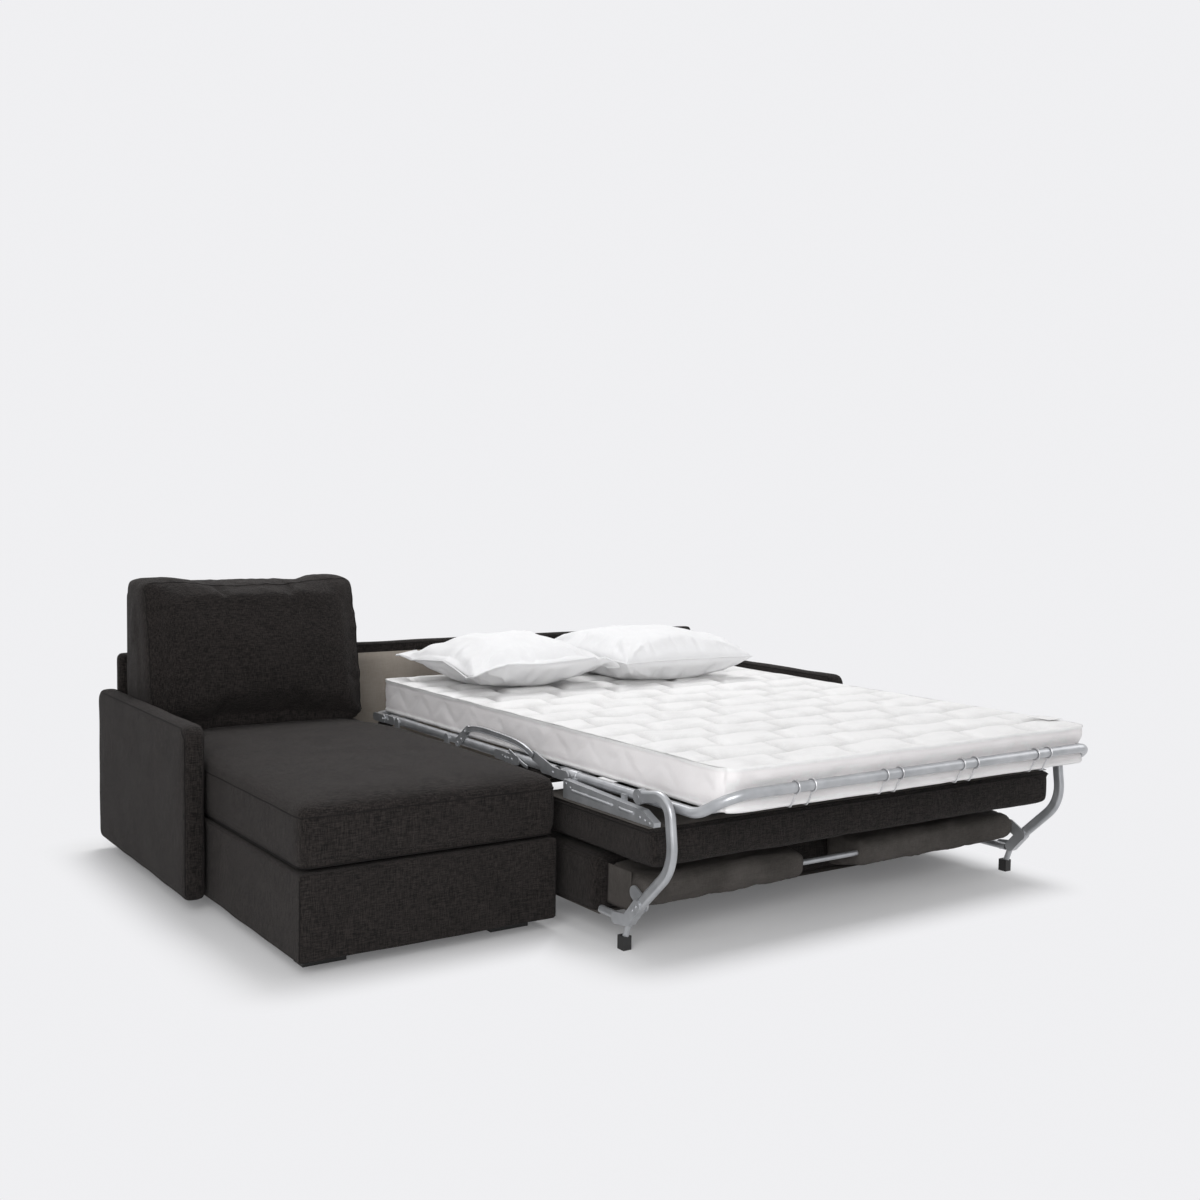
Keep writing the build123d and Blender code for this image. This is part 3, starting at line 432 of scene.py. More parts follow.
CHARCOAL = cloth_finish(
    "charcoal_weave", (0.0030, 0.0024, 0.0021), (0.0300, 0.0248, 0.0230), 2600, 0.0012,
    sheen=0.05, fleck=0.90, low=0.40, high=0.60)
SEAM_DARK = cloth_finish(
    "charcoal_seam", (0.004, 0.0035, 0.0034), (0.014, 0.012, 0.0115), 3600, 0.0006, fleck=0.7)
LINING = cloth_finish("grey_lining", (0.048, 0.043, 0.039), (0.112, 0.102, 0.094), 3800, 0.0006, fleck=0.5)
# The beige lining is a light cloth, painted darker to stand for the shade it lies in inside the back.
BEIGE_SHADED = cloth_finish("beige_lining", (0.27, 0.24, 0.205), (0.40, 0.36, 0.315), 4200, 0.0004, fleck=0.4)
# The ticking is painted darker in the quilting's hollows, as the shade that falls there.
TICKING = cloth_finish(
    "mattress_ticking", (0.66, 0.655, 0.65), (0.90, 0.895, 0.89), 3000, 0.0006,
    sheen=0.05, fleck=0.5, low=0.10, high=0.50, hollow_shade=0.34)
# The border's cloth is slightly warmer than the ticking, and painted lighter to stand for light falling on
# the mattress's sides.
BORDER_LIGHTENED = cloth_finish(
    "mattress_border_lightened", (0.85, 0.82, 0.82), (0.91, 0.89, 0.89), 3000, 0.0006, sheen=0.05, fleck=0.5)
COTTON = cloth_finish(
    "pillow_cotton", (0.80, 0.80, 0.805), (0.86, 0.86, 0.865), 5200, 0.0003, sheen=0.05, fleck=0.4)
STEEL = steel_finish("grey_painted_steel", (0.34, 0.35, 0.365), (0.45, 0.46, 0.475), 0.55, 0.34, 0.25)
WIRE = steel_finish("bright_wire", (0.48, 0.48, 0.49), (0.66, 0.66, 0.67), 0.9, 0.3)
RUBBER = moulded_finish("black_rubber", (0.008, 0.008, 0.008), (0.02, 0.02, 0.02), 0.6)
PLASTIC = moulded_finish("black_plastic", (0.010, 0.010, 0.010), (0.024, 0.024, 0.024), 0.5)
WOOD = board_finish()
print("finishes", len(bpy.data.materials))

# %% [markdown]
# ## Finishes on the solids
# The steel, the boards and the feet keep their CAD shapes. Each node's slot in the record says what it is
# made of.

# %% Dress the solids
SLOT_FINISH = {
    "charcoal_fabric": CHARCOAL, "grey_lining": LINING, "beige_lining": BEIGE_SHADED, "mattress_ticking": TICKING,
    "pillow_cotton": COTTON, "grey_painted_steel": STEEL, "bright_wire": WIRE, "wood_board": WOOD,
    "black_plastic": PLASTIC, "black_rubber": RUBBER,
}
for row in frame["record"]["subparts"]:
    node = nodes[row["node"]]
    node.data.materials.clear()
    node.data.materials.append(SLOT_FINISH[row["material_slot"]])
print("dressed", len(nodes))

# %% [markdown]
# ## Sewing helpers
# A pad starts as a block with rounded edges, or as a copy of its solid. Remeshing gives it even faces,
# smoothing rounds its corners, and a short cloth simulation blows up the soft ones from inside. Each point's
# movement is capped, so the pad stays in its own space, and it hardly moves where it rests on something.
# Seams are thin cords laid on the finished surface.

# %% Helpers
PAD_VOXEL = 0.012
CLOTH_FRAMES = 20
SEAM_RADIUS = 0.0016
FABRIC = "charcoal_fabric"


def link_mesh(name, bm, material):
    mesh = bpy.data.meshes.new(name)
    bm.to_mesh(mesh)
    bm.free()
    for face in mesh.polygons:
        face.use_smooth = True
    mesh.materials.append(material)
    piece = bpy.data.objects.new(name, mesh)
    scene.collection.objects.link(piece)
    return piece


def box_mesh(low, high):
    low, high = Vector(low), Vector(high)
    bm = bmesh.new()
    bmesh.ops.create_cube(bm, size=1)
    bmesh.ops.scale(bm, vec=high - low, verts=bm.verts)
    bmesh.ops.translate(bm, vec=(high + low) / 2, verts=bm.verts)
    return bm


def sharp_edges(bm, angle):
    return [e for e in bm.edges if e.calc_face_angle(0) > angle]


def round_edges(bm, edges, offset, segments):
    bmesh.ops.bevel(
        bm, geom=edges, offset=offset, affect="EDGES", segments=segments, profile=0.5, material=-1)


def points_of(geometry):
    return [g for g in geometry if isinstance(g, bmesh.types.BMVert)]


def edges_of(geometry):
    return [g for g in geometry if isinstance(g, bmesh.types.BMEdge)]


def near(distance, reach):
    """1 at no distance, falling evenly to 0 at the reach."""
    return max(0.0, 1 - distance / reach)


def across_box(x, low, high):
    """A place across a box, from -1 at its left side to 1 at its right side."""
    return 2 * (x - low[0]) / (high[0] - low[0]) - 1


def copy_solid(name, node, material):
    """A merged copy of a solid's mesh as a new piece."""
    bm = bmesh.new()
    bm.from_mesh(nodes[node].data)
    bmesh.ops.remove_doubles(bm, verts=bm.verts, dist=1e-5)
    return link_mesh(name, bm, material)


def even_faces(piece, voxel, rounds):
    """Even small faces, with corners rounded by a few rounds of smoothing."""
    piece.data.remesh_voxel_size = voxel
    bpy.context.view_layer.objects.active = piece
    bpy.ops.object.voxel_remesh()
    bm = bmesh.new()
    bm.from_mesh(piece.data)
    for _ in range(rounds):
        bmesh.ops.smooth_vert(
            bm, verts=bm.verts, factor=0.5, use_axis_x=True, use_axis_y=True, use_axis_z=True)
    bm.to_mesh(piece.data)
    bm.free()
    for face in piece.data.polygons:
        face.use_smooth = True


def new_pad(name, node, edge, voxel, rounds, top_front=None, hang=0.0):
    """A block with rounded edges in the space of a solid, and that space.

    top_front rounds one corner more, seen from the side, and hang lets the block reach below the solid.
    """
    low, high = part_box(node)
    bm = box_mesh((low[0], low[1], low[2] - hang), high)
    if top_front:
        corner = [e for e in bm.edges if all(v.co.z > high[2] - 1e-4 for v in e.verts)
                  and abs(e.verts[0].co.x - e.verts[1].co.x) > 1e-4]
        round_edges(bm, corner, top_front, 8)
    round_edges(bm, sharp_edges(bm, 0.6), edge, 4)
    piece = link_mesh(name, bm, CHARCOAL)
    even_faces(piece, voxel, rounds)
    return piece, low, high


def blow_up(piece, cap, pressure=4.0, stiffness=12.0, shrink=0.0, bending=0.4):
    """A cloth simulation with pressure and no gravity; cap gives how far each point may move."""
    rest = [v.co.copy() for v in piece.data.vertices]
    cloth = piece.modifiers.new("blow", "CLOTH")
    cloth.settings.quality = 4
    cloth.settings.mass = 0.3
    cloth.settings.tension_stiffness = stiffness
    cloth.settings.compression_stiffness = stiffness
    cloth.settings.shear_stiffness = stiffness / 3
    cloth.settings.bending_stiffness = bending
    cloth.settings.use_pressure = True
    cloth.settings.uniform_pressure_force = pressure
    cloth.settings.shrink_min = shrink
    cloth.settings.effector_weights.gravity = 0
    cloth.collision_settings.use_collision = False
    cloth.point_cache.frame_start = 1
    cloth.point_cache.frame_end = CLOTH_FRAMES
    for step in range(1, CLOTH_FRAMES + 1):
        scene.frame_set(step)
    shape = piece.evaluated_get(bpy.context.evaluated_depsgraph_get()).to_mesh()
    moved = [v.co.copy() for v in shape.vertices]
    piece.modifiers.remove(cloth)
    scene.frame_set(1)
    for vertex, start, end in zip(piece.data.vertices, rest, moved):
        step = end - start
        limit = cap(start)
        vertex.co = start + (step if step.length <= limit else step * (limit / step.length))


def ripple(piece, size, height, seed=0.0, only=None, outward=False):
    """Small uneven waves along the surface, as in cloth that isn't drawn tight."""
    size = (size, size, size) if isinstance(size, float) else size
    offset = Vector((seed, seed * 1.7, seed * 0.6))
    normals = [v.normal.copy() for v in piece.data.vertices]
    for vertex, normal in zip(piece.data.vertices, normals):
        share = 1.0 if only is None else only(vertex.co)
        wave = noise.noise(Vector([value / step for value, step in zip(vertex.co, size)]) + offset)
        vertex.co += normal * ((abs(wave) if outward else wave) * height * share)


def finer(piece):
    """One subdivision, so that the silhouette is smooth."""
    step = piece.modifiers.new("finer", "SUBSURF")
    step.levels = 1
    step.render_levels = 1


def surface_of(piece):
    bm = bmesh.new()
    bm.from_mesh(piece.data)
    tree = BVHTree.FromBMesh(bm)
    bm.free()
    return tree


def round_cord(points, radius, closed=False, caps=False):
    """The mesh of a thin round cord along a line of points."""
    curve = bpy.data.curves.new("line", "CURVE")
    curve.dimensions = "3D"
    curve.bevel_depth = radius
    curve.bevel_resolution = 2
    curve.use_fill_caps = caps
    spline = curve.splines.new("POLY")
    spline.points.add(len(points) - 1)
    for target, point in zip(spline.points, points):
        target.co = (*point, 1)
    spline.use_cyclic_u = closed
    maker = bpy.data.objects.new("maker", curve)
    mesh = bpy.data.meshes.new_from_object(maker)
    bm = bmesh.new()
    bm.from_mesh(mesh)
    bpy.data.objects.remove(maker)
    bpy.data.curves.remove(curve)
    bpy.data.meshes.remove(mesh)
    return bm


def seam(name, piece, guide, body, material=SEAM_DARK, radius=SEAM_RADIUS, closed=False):
    """A sewn edge: a thin cord along guide points, laid on the piece's surface."""
    tree = surface_of(piece)
    laid = [tree.find_nearest(point)[0] for point in guide]
    cord = link_mesh(name, round_cord(laid, radius, closed), material)
    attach(cord, body)
    return cord


def between(start, end, step=0.02):
    """Evenly spaced points from start to end, without the end."""
    start, end = Vector(start), Vector(end)
    count = max(1, round((end - start).length / step))
    return [start.lerp(end, index / count) for index in range(count)]


def ring_guide(low, high, z):
    """Points once round a box at one height."""
    corners = [(low[0], low[1], z), (high[0], low[1], z), (high[0], high[1], z), (low[0], high[1], z)]
    points = []
    for index, corner in enumerate(corners):
        points += between(corner, corners[(index + 1) % 4])
    return points


def upholster(piece, body, *replaced, fill, slot=FABRIC):
    """Puts a finished pad on its body in place of the solids it stands for."""
    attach(piece, body)
    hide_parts(*replaced)


print("helpers ready")

# %% [markdown]
# ## The chaise
# The base is a box with its cover drawn tight. The seat slab is a thick block of foam in a cover with a
# border, so it has one seam round its top edge and one round its foot. Its top is domed, and pressed down a
# little at the rear, where the back cushion stands on it. The back cushion is softer: it leans on the low
# back, and its cover is loose along the top, down the right side and at the foot.

# %% Chaise base
BASE_BOARDS = ("chaise_side_panels", "chaise_panel_front", "chaise_panel_rear", "chaise_deck")
base, low, high = new_pad("chaise_base", "chaise_base_cover", 0.005, 0.009, 1)
ripple(base, 0.16, 0.0022, 3.0)
upholster(base, "sofa_frame", "chaise_base_cover", *BASE_BOARDS, fill=1.0)
for side in (low[0], high[0]):
    guide = between((side, low[1], low[2] + 0.004), (side, low[1], high[2] - 0.002), 0.012)
    seam("chaise_base_seam_" + ("left" if side == low[0] else "right"), base, guide, "sofa_frame")
print("base", len(base.data.vertices))

# %% Chaise seat slab
SLAB_SWELL = 0.010
SLAB_EDGE = 0.030
SLAB_CROWN = 0.020
SLAB_DIP = 0.012
slab, low, high = new_pad("chaise_seat", "chaise_seat_cushion", SLAB_EDGE, PAD_VOXEL, 5)
slab_foot = low[2] + 0.012


def slab_cap(point):
    return 0.001 if point.z < slab_foot else SLAB_SWELL


def crown_slab():
    """Domes the slab's top, and presses it down a little at the rear, where the back cushion stands on it."""
    length = (high[1] - low[1]) * 0.8
    for vertex in slab.data.vertices:
        across = across_box(vertex.co.x, low, high)
        along = (vertex.co.y - low[1]) / length
        share = min(1.0, max(0.0, (vertex.co.z - slab_foot) / (high[2] - slab_foot)))
        dome = max(0.0, 1 - across ** 4) * max(0.0, 1 - abs(2 * along - 1) ** 3)
        press = min(1.0, max(0.0, along - 0.75) / 0.25)
        vertex.co.z += share * (SLAB_CROWN * dome - SLAB_DIP * press)


blow_up(slab, slab_cap)
crown_slab()
ripple(slab, 0.12, 0.0025, 1.0, lambda p: 1.0 if p.z > slab_foot else 0.0)
finer(slab)
upholster(slab, "sofa_frame", "chaise_seat_cushion", fill=0.9)
edge_height = spot(0, 0, 397).z
seam("chaise_seat_top_seam", slab, ring_guide(low, high, edge_height), "sofa_frame", closed=True)
seam("chaise_seat_foot_seam", slab, ring_guide(low, high, low[2] + 0.006), "sofa_frame", closed=True)
print("slab", len(slab.data.vertices))

# %% Chaise back cushion
CUSHION_SWELL = 0.030
CUSHION_SINK = 0.012
CUSHION_CROWN = 0.022
low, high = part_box("chaise_back_cushion")
back_pad = copy_solid("chaise_back_pad", "chaise_back_cushion", CHARCOAL)
even_faces(back_pad, PAD_VOXEL, 36)
rear_face = high[1] - 0.012
foot_face = low[2] + 0.010
PAD_SEAM = 0.0013


def back_pad_cap(point):
    if point.y > rear_face or point.z < foot_face:
        return 0.001
    across = across_box(point.x, low, high)
    return 0.004 + CUSHION_SWELL * max(0.0, 1 - across ** 4)


blow_up(back_pad, back_pad_cap, stiffness=14.0)
for vertex in back_pad.data.vertices:
    across = across_box(vertex.co.x, low, high)
    upper = near(high[2] - vertex.co.z, 0.15)
    lower = near(vertex.co.z - low[2], 0.25)
    vertex.co.z += CUSHION_CROWN * upper * max(0.0, 1 - across ** 2) - CUSHION_SINK * lower
ripple(back_pad, 0.11, 0.004, 5.0, lambda p: 1.0 if p.y < rear_face else 0.0)
ripple(back_pad, (0.022, 0.05, 0.09), 0.005, 9.0, lambda p: near(abs(p.z - high[2] + 0.03), 0.05))
ripple(back_pad, (0.03, 0.05, 0.06), 0.006, 13.0,
       lambda p: near(p.z - low[2], 0.09) if p.y < rear_face else 0.0)
ripple(back_pad, (0.05, 0.05, 0.028), 0.005, 15.0, lambda p: near(abs(p.x - high[0] + 0.02), 0.05))
finer(back_pad)
upholster(back_pad, "sofa_frame", "chaise_back_cushion", fill=0.7)
front_skin = surface_of(back_pad)


def front_of_pad(x, z):
    """Where the front of the back pad lies at one place across and one height."""
    hit = front_skin.ray_cast(Vector((x, -3, z)), Vector((0, 1, 0)))[0]
    return hit.y if hit else rear_face


for label, x, inside in (("left", low[0], 0.05), ("right", high[0], -0.05)):
    heights = [low[2] + 0.03 + step * 0.012 for step in range(round((high[2] - low[2] - 0.05) / 0.012))]
    guide = [(x, front_of_pad(x + inside, z), z) for z in heights]
    seam("back_pad_seam_" + label, back_pad, guide, "sofa_frame", radius=PAD_SEAM)
top_front = front_of_pad((low[0] + high[0]) / 2, high[2] - 0.04)
guide = between((low[0] + 0.02, top_front, high[2]), (high[0] - 0.02, top_front, high[2]), 0.012)
seam("back_pad_seam_top", back_pad, guide, "sofa_frame", radius=PAD_SEAM)
print("back pad", len(back_pad.data.vertices))

# %% [markdown]
# ## Arms and back
# Both arms are boards in a thin padded cover with a rounded top front corner, sewn along the edges of the
# broad faces. The back is a long board covered the same way, with a cover that hangs a little below it, so
# that dark cloth fills the gap under the back as painted shade. Its inside, which the folded bed hides, has
# a light lining, painted darker as shade.

# %% Arms


def sew_arm(name, node, core):
    arm, low, high = new_pad(name, node, 0.016, 0.010, 3, top_front=0.036)
    blow_up(arm, lambda point: 0.004)
    ripple(arm, 0.14, 0.0025, 7.0 + low[0])
    upholster(arm, "sofa_frame", node, core, fill=0.9)
    inset = 0.010
    for label, x in (("outer", low[0]), ("inner", high[0])):
        guide = between((x, low[1] + inset, low[2] + 0.02), (x, low[1] + inset, high[2] - 0.04))
        guide += between((x, low[1] + inset, high[2] - 0.04), (x, low[1] + 0.04, high[2] - inset), 0.01)
        guide += between((x, low[1] + 0.04, high[2] - inset), (x, high[1] - 0.04, high[2] - inset))
        seam(name + "_seam_" + label, arm, guide, "sofa_frame")


sew_arm("left_arm", "left_arm_cover", "left_arm_core")
sew_arm("right_arm", "right_arm_cover", "right_arm_core")

# %% Low back
# The cover hangs below its board, so dark cloth closes the gap under the back, as painted shade where the bay
# beneath lies in shadow.
BACK_HANG_FOR_SHADE = 0.020
low_back, low, high = new_pad("low_back", "back_cover", 0.012, PAD_VOXEL, 3, hang=BACK_HANG_FOR_SHADE)
ripple(low_back, 0.15, 0.0025, 2.0)
upholster(low_back, "sofa_frame", "back_cover", "back_board", fill=1.0)
for label, y in (("front", low[1]), ("rear", high[1])):
    guide = between((low[0] + 0.01, y, high[2] - 0.010), (high[0] - 0.01, y, high[2] - 0.010))
    seam("low_back_seam_" + label, low_back, guide, "sofa_frame")
print("arms and back sewn")

# %% Lining inside the back


def waved_sheet(name, space, normal_axis, material, thick, wave, cell=0.03, seed=0.0):
    """A sheet that fills a thin box: a grid with soft waves, given its thickness."""
    low, high = space
    axes = [axis for axis in range(3) if axis != normal_axis]
    bm = bmesh.new()
    counts = [max(2, round((high[axis] - low[axis]) / cell)) for axis in axes]
    bmesh.ops.create_grid(bm, x_segments=counts[0], y_segments=counts[1], size=0.5)
    for vertex in bm.verts:
        point = (Vector(low) + Vector(high)) / 2
        for axis, share in zip(axes, vertex.co):
            point[axis] = low[axis] + (share + 0.5) * (high[axis] - low[axis])
        point[normal_axis] += wave * noise.noise(point / 0.18 + Vector((seed, 0, 0)))
        vertex.co = point
    bmesh.ops.recalc_face_normals(bm, faces=bm.faces)
    sheet = link_mesh(name, bm, material)
    wall = sheet.modifiers.new("thickness", "SOLIDIFY")
    wall.thickness = thick
    wall.offset = 0
    return sheet


def lay_sheet(sheet, body, replaced=None):
    """Puts a finished sheet on its body, in place of the solid it replaces, if one is given."""
    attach(sheet, body)
    if replaced:
        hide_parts(replaced)


def line_pad(name, node, normal_axis, material, wave, body, seed=0.0):
    """A lining stretched over the open face of a pad, in place of its solid."""
    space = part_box(node)
    sheet = waved_sheet(name, space, normal_axis, material, 0.0016, wave, seed=seed)
    lay_sheet(sheet, body, node)


# The lining inside the back takes the beige cloth painted darker as shade.
line_pad("back_lining_cloth", "back_lining", 1, BEIGE_SHADED, 0.0012, "sofa_frame")
print("lining laid")

# %% [markdown]
# ## The mattress
# One long thin mattress covers all four sections of the bed. Its top is quilted in rows of puffed bricks
# with wavy long seams, and its border has a zigzag stitch and a piped edge above and below. It is made as
# one grid, its sides are pulled down from the grid's rim, and it is then cut across in two places, so that
# each of the three lengths crosses just one fold.

# %% Quilted mattress
QUILT_ROW = 0.140
QUILT_BRICK = 0.235
QUILT_WAVE = 0.010
QUILT_DEPTH = 0.017
MATTRESS_CELL = 0.0085
MATTRESS_CORNER = 0.050
RING_SHARES = (0.03, 0.06, 0.09, 0.12, 0.18, 0.26, 0.34, 0.42, 0.5,
               0.58, 0.66, 0.74, 0.82, 0.88, 0.91, 0.94, 0.97, 1.0)
ROW_SEAM = 0.046
END_SEAM = 0.038
PIPING = 0.0045
PIPING_GROOVE = 0.003
BORDER_PUFF = 0.0025
BORDER_SLACK = 0.013
BORDER_SLOPE = 0.35
ZIGZAG = 0.085
head_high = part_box("mattress_head")[1]
foot_low, foot_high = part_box("mattress_foot")
mattress_low = Vector(foot_low)
mattress_high = Vector((foot_high[0], head_high[1], foot_high[2]))
rail_share = (mattress_high.z - spot(0, 0, 466).z) / (mattress_high.z - mattress_low.z)


def seam_dip(distance, width):
    """How far the quilting is drawn down near a seam, 1 on it and 0 in the middle of a puff."""
    share = min(1.0, abs(distance) / width)
    return (1 - share) ** 2


def quilt_depth(x, y):
    """Depth of the quilting below the top of the puffs at a place on the mattress."""
    u, v = x - mattress_low.x, y - mattress_low.y
    wavy = v + QUILT_WAVE * math.sin(u / QUILT_BRICK * 2 * math.pi + 0.6)
    row = math.floor(wavy / QUILT_ROW)
    along = wavy - row * QUILT_ROW
    to_row = min(along, QUILT_ROW - along)
    shifted = u + (QUILT_BRICK / 2 if row % 2 else 0.0) + 0.012 * math.sin(row * 2.1)
    shifted += 0.008 * math.sin(along / QUILT_ROW * math.pi * 2)
    brick = shifted % QUILT_BRICK
    to_end = min(brick, QUILT_BRICK - brick)
    dip = max(seam_dip(to_row, ROW_SEAM) * 0.9, seam_dip(to_end, END_SEAM))
    return QUILT_DEPTH * dip + 0.004 * noise.noise(Vector((x * 8, y * 8, 0)))


def bead(share, place, width=0.035):
    """A rounded bump of height 1 round one place."""
    return math.exp(-((share - place) / width) ** 2)


def border_swell(share, along, front):
    """How far the border stands out at a share of its height: piping, zigzag quilting and slack."""
    piping = bead(share, 0.06) + bead(share, 0.94)
    groove = bead(share, 0.14) + bead(share, 0.86)
    zig = abs((along / ZIGZAG) % 2 - 1)
    line = abs(share - (0.24 + 0.52 * zig))
    puff = BORDER_PUFF * min(1.0, line / 0.17)
    loose = 0.004 * noise.noise(Vector((along * 7, share * 2, 7)))
    loose += 0.002 * noise.noise(Vector((along * 19, share * 4, 3)))
    swell = PIPING * piping - PIPING_GROOVE * groove + puff * (1 - piping) + loose - 0.004
    if front:
        swell += BORDER_SLACK * (1 - bead(share, rail_share, 0.24)) - 0.003
    return swell


def build_mattress():
    size = mattress_high - mattress_low
    bm = bmesh.new()
    counts = (round(size.x / MATTRESS_CELL), round(size.y / MATTRESS_CELL))
    bmesh.ops.create_grid(bm, x_segments=counts[0], y_segments=counts[1], size=0.5)
    middle = (mattress_low + mattress_high) / 2
    corner = MATTRESS_CORNER
    for vertex in bm.verts:
        x, y = vertex.co.x * size.x, vertex.co.y * size.y
        over = Vector((max(0, abs(x) - size.x / 2 + corner), max(0, abs(y) - size.y / 2 + corner)))
        reach = max(over.x, over.y)
        if over.x > 0 and over.y > 0:
            over *= reach / over.length
            x = math.copysign(size.x / 2 - corner + over.x, x)
            y = math.copysign(size.y / 2 - corner + over.y, y)
        vertex.co = (middle.x + x, middle.y + y, mattress_high.z)
    ring = [e for e in bm.edges if e.is_boundary]
    above = 0.0
    for share in RING_SHARES:
        made = bmesh.ops.extrude_edge_only(bm, edges=ring)["geom"]
        fall = (share - above) * size.z
        bmesh.ops.translate(bm, vec=(0, 0, -fall), verts=points_of(made))
        ring = [edge for edge in edges_of(made) if edge.is_boundary]
        above = share
    bmesh.ops.contextual_create(bm, geom=ring)
    bmesh.ops.recalc_face_normals(bm, faces=bm.faces)
    # Each top point keeps how deep its quilting is drawn, which the ticking uses to paint shade in the
    # hollows.
    drawn = bm.verts.layers.float.new("quilt")
    for vertex in bm.verts:
        point = vertex.co
        share = (mattress_high.z - point.z) / size.z
        edge_x = size.x / 2 - abs(point.x - middle.x)
        edge_y = size.y / 2 - abs(point.y - middle.y)
        edge = max(0.0, min(edge_x, edge_y))
        if share < 1e-6:
            ease = min(1.0, edge / 0.03)
            depth = quilt_depth(point.x, point.y)
            vertex[drawn] = max(0.0, depth / QUILT_DEPTH) * ease
            point.z -= depth * ease + 0.004 * (1 - ease) ** 2
            continue
        side_x = near(edge_x, corner)
        side_y = near(edge_y, corner)
        away = point - middle
        outward = Vector((math.copysign(side_x, away.x), math.copysign(side_y, away.y), 0)).normalized()
        along = point.y if side_x > side_y else point.x
        front = point.y < middle.y and side_y > side_x
        rounded = 0.006 * (abs(share - 0.5) * 2) ** 8
        wander = 0.0035 * noise.noise(Vector((along * 6, 2, share)))
        point += outward * (border_swell(share, along, front) - rounded)
        point.z += wander if share < 0.9 else 0.0
    return bm


whole = build_mattress()
print("mattress", len(whole.verts), "points")

# %% Cut the mattress into three lengths
CUT_BEND = spot(0, 284.1, 0).y
CUT_MID = spot(0, 842.3, 0).y


def mattress_length(name, front, rear):
    """A closed length of the mattress between two cuts; the border gets its own cloth, slightly warmer and
    painted lighter for the light on the sides.
    """
    bm = whole.copy()
    for place, keep_rear in ((front, True), (rear, False)):
        if place is None:
            continue
        geometry = bm.verts[:] + bm.edges[:] + bm.faces[:]
        cut = bmesh.ops.bisect_plane(bm, geom=geometry, plane_co=(0, place, 0), plane_no=(0, 1, 0),
                                     clear_inner=keep_rear, clear_outer=not keep_rear)
        rim = edges_of(cut["geom_cut"])
        bmesh.ops.triangle_fill(bm, edges=rim, normal=(0, -1 if keep_rear else 1, 0))
        for edge in rim:
            edge.smooth = False
    bmesh.ops.recalc_face_normals(bm, faces=bm.faces)
    for face in bm.faces:
        if abs(face.normal.z) < BORDER_SLOPE and face.calc_center_median().z < mattress_high.z - 0.012:
            face.material_index = 1
    piece = link_mesh(name, bm, TICKING)
    piece.data.materials.append(BORDER_LIGHTENED)
    return piece


foot_length = mattress_length("mattress_foot_length", None, CUT_BEND)
bend_length = mattress_length("mattress_bend_length", CUT_BEND, CUT_MID)
head_length = mattress_length("mattress_head_length", CUT_MID, None)
whole.free()


def across_fold(piece):
    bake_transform(piece)


across_fold(foot_length)
across_fold(bend_length)
across_fold(head_length)
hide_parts("mattress_foot")
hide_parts("mattress_bend", "mattress_mid")
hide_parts("mattress_head")
print("three lengths cut")

# %% [markdown]
# ## Pillows
# A real pillow is two flat pieces of cotton sewn together round the rim and then filled. It is made the same
# way here: two square sheets share their rim and are lifted and creased, and pressure fills them. The filled
# bag is then fitted into the space of its solid and flattened where it lies.

# %% Pillows
PILLOW_CLOTH = 0.62
PILLOW_CELLS = 72
PILLOW_CROWN = 0.105
PILLOW_SUNK = 0.024
PILLOW_PULL = 0.030
PILLOW_GIVE = 0.022
PILLOW_SEAM = 0.0026


def pillow_crease(x, y, seed):
    """Creases that run in from the seam and out of the corners, for a place from -1 to 1 on the pillow."""
    edge = 1 - max(abs(x), abs(y))
    along = y if abs(x) > abs(y) else x
    height = 0.010 * noise.noise(Vector((along * 9 + seed, edge * 1.5, seed))) * bead(edge, 0.16, 0.16)
    far = math.hypot(1 - abs(x), 1 - abs(y))
    turn = math.atan2(1 - abs(x), 1 - abs(y))
    height += 0.014 * noise.noise(Vector((turn * 5, far, seed * 2))) * bead(far, 0.4, 0.3)
    return height + 0.004 * noise.noise(Vector((x * 7, y * 4, seed * 3)))


def sewn_bag(name, seed):
    """Two square sheets joined along their rims and lifted into a bag; also the rim's points in order."""
    half = PILLOW_CLOTH / 2
    bm = bmesh.new()
    bmesh.ops.create_grid(bm, x_segments=PILLOW_CELLS, y_segments=PILLOW_CELLS, size=half)
    copy = bmesh.ops.duplicate(bm, geom=bm.verts[:] + bm.edges[:] + bm.faces[:])["geom"]
    lower = set(points_of(copy))
    for vertex in bm.verts:
        x, y = vertex.co.x / half, vertex.co.y / half
        crown = max(0.0, (1 - x * x) * (1 - y * y)) ** 0.5
        side = -1 if vertex in lower else 1
        vertex.co.x -= PILLOW_PULL * x * (1 - y * y)
        vertex.co.y -= PILLOW_PULL * y * (1 - x * x)
        vertex.co.z = side * crown * (PILLOW_CROWN + 0.012 * noise.noise(Vector((x * 2 + seed, y * 2, side))))
        vertex.co.z += side * crown ** 0.3 * pillow_crease(x, y, seed + side)
    bmesh.ops.remove_doubles(bm, verts=bm.verts, dist=1e-5)
    bmesh.ops.recalc_face_normals(bm, faces=bm.faces)
    bag = link_mesh(name, bm, COTTON)
    rim = [v for v in bag.data.vertices if abs(v.co.z) < 1e-6]
    rim.sort(key=lambda v: math.atan2(v.co.y, v.co.x))
    return bag, [v.index for v in rim]


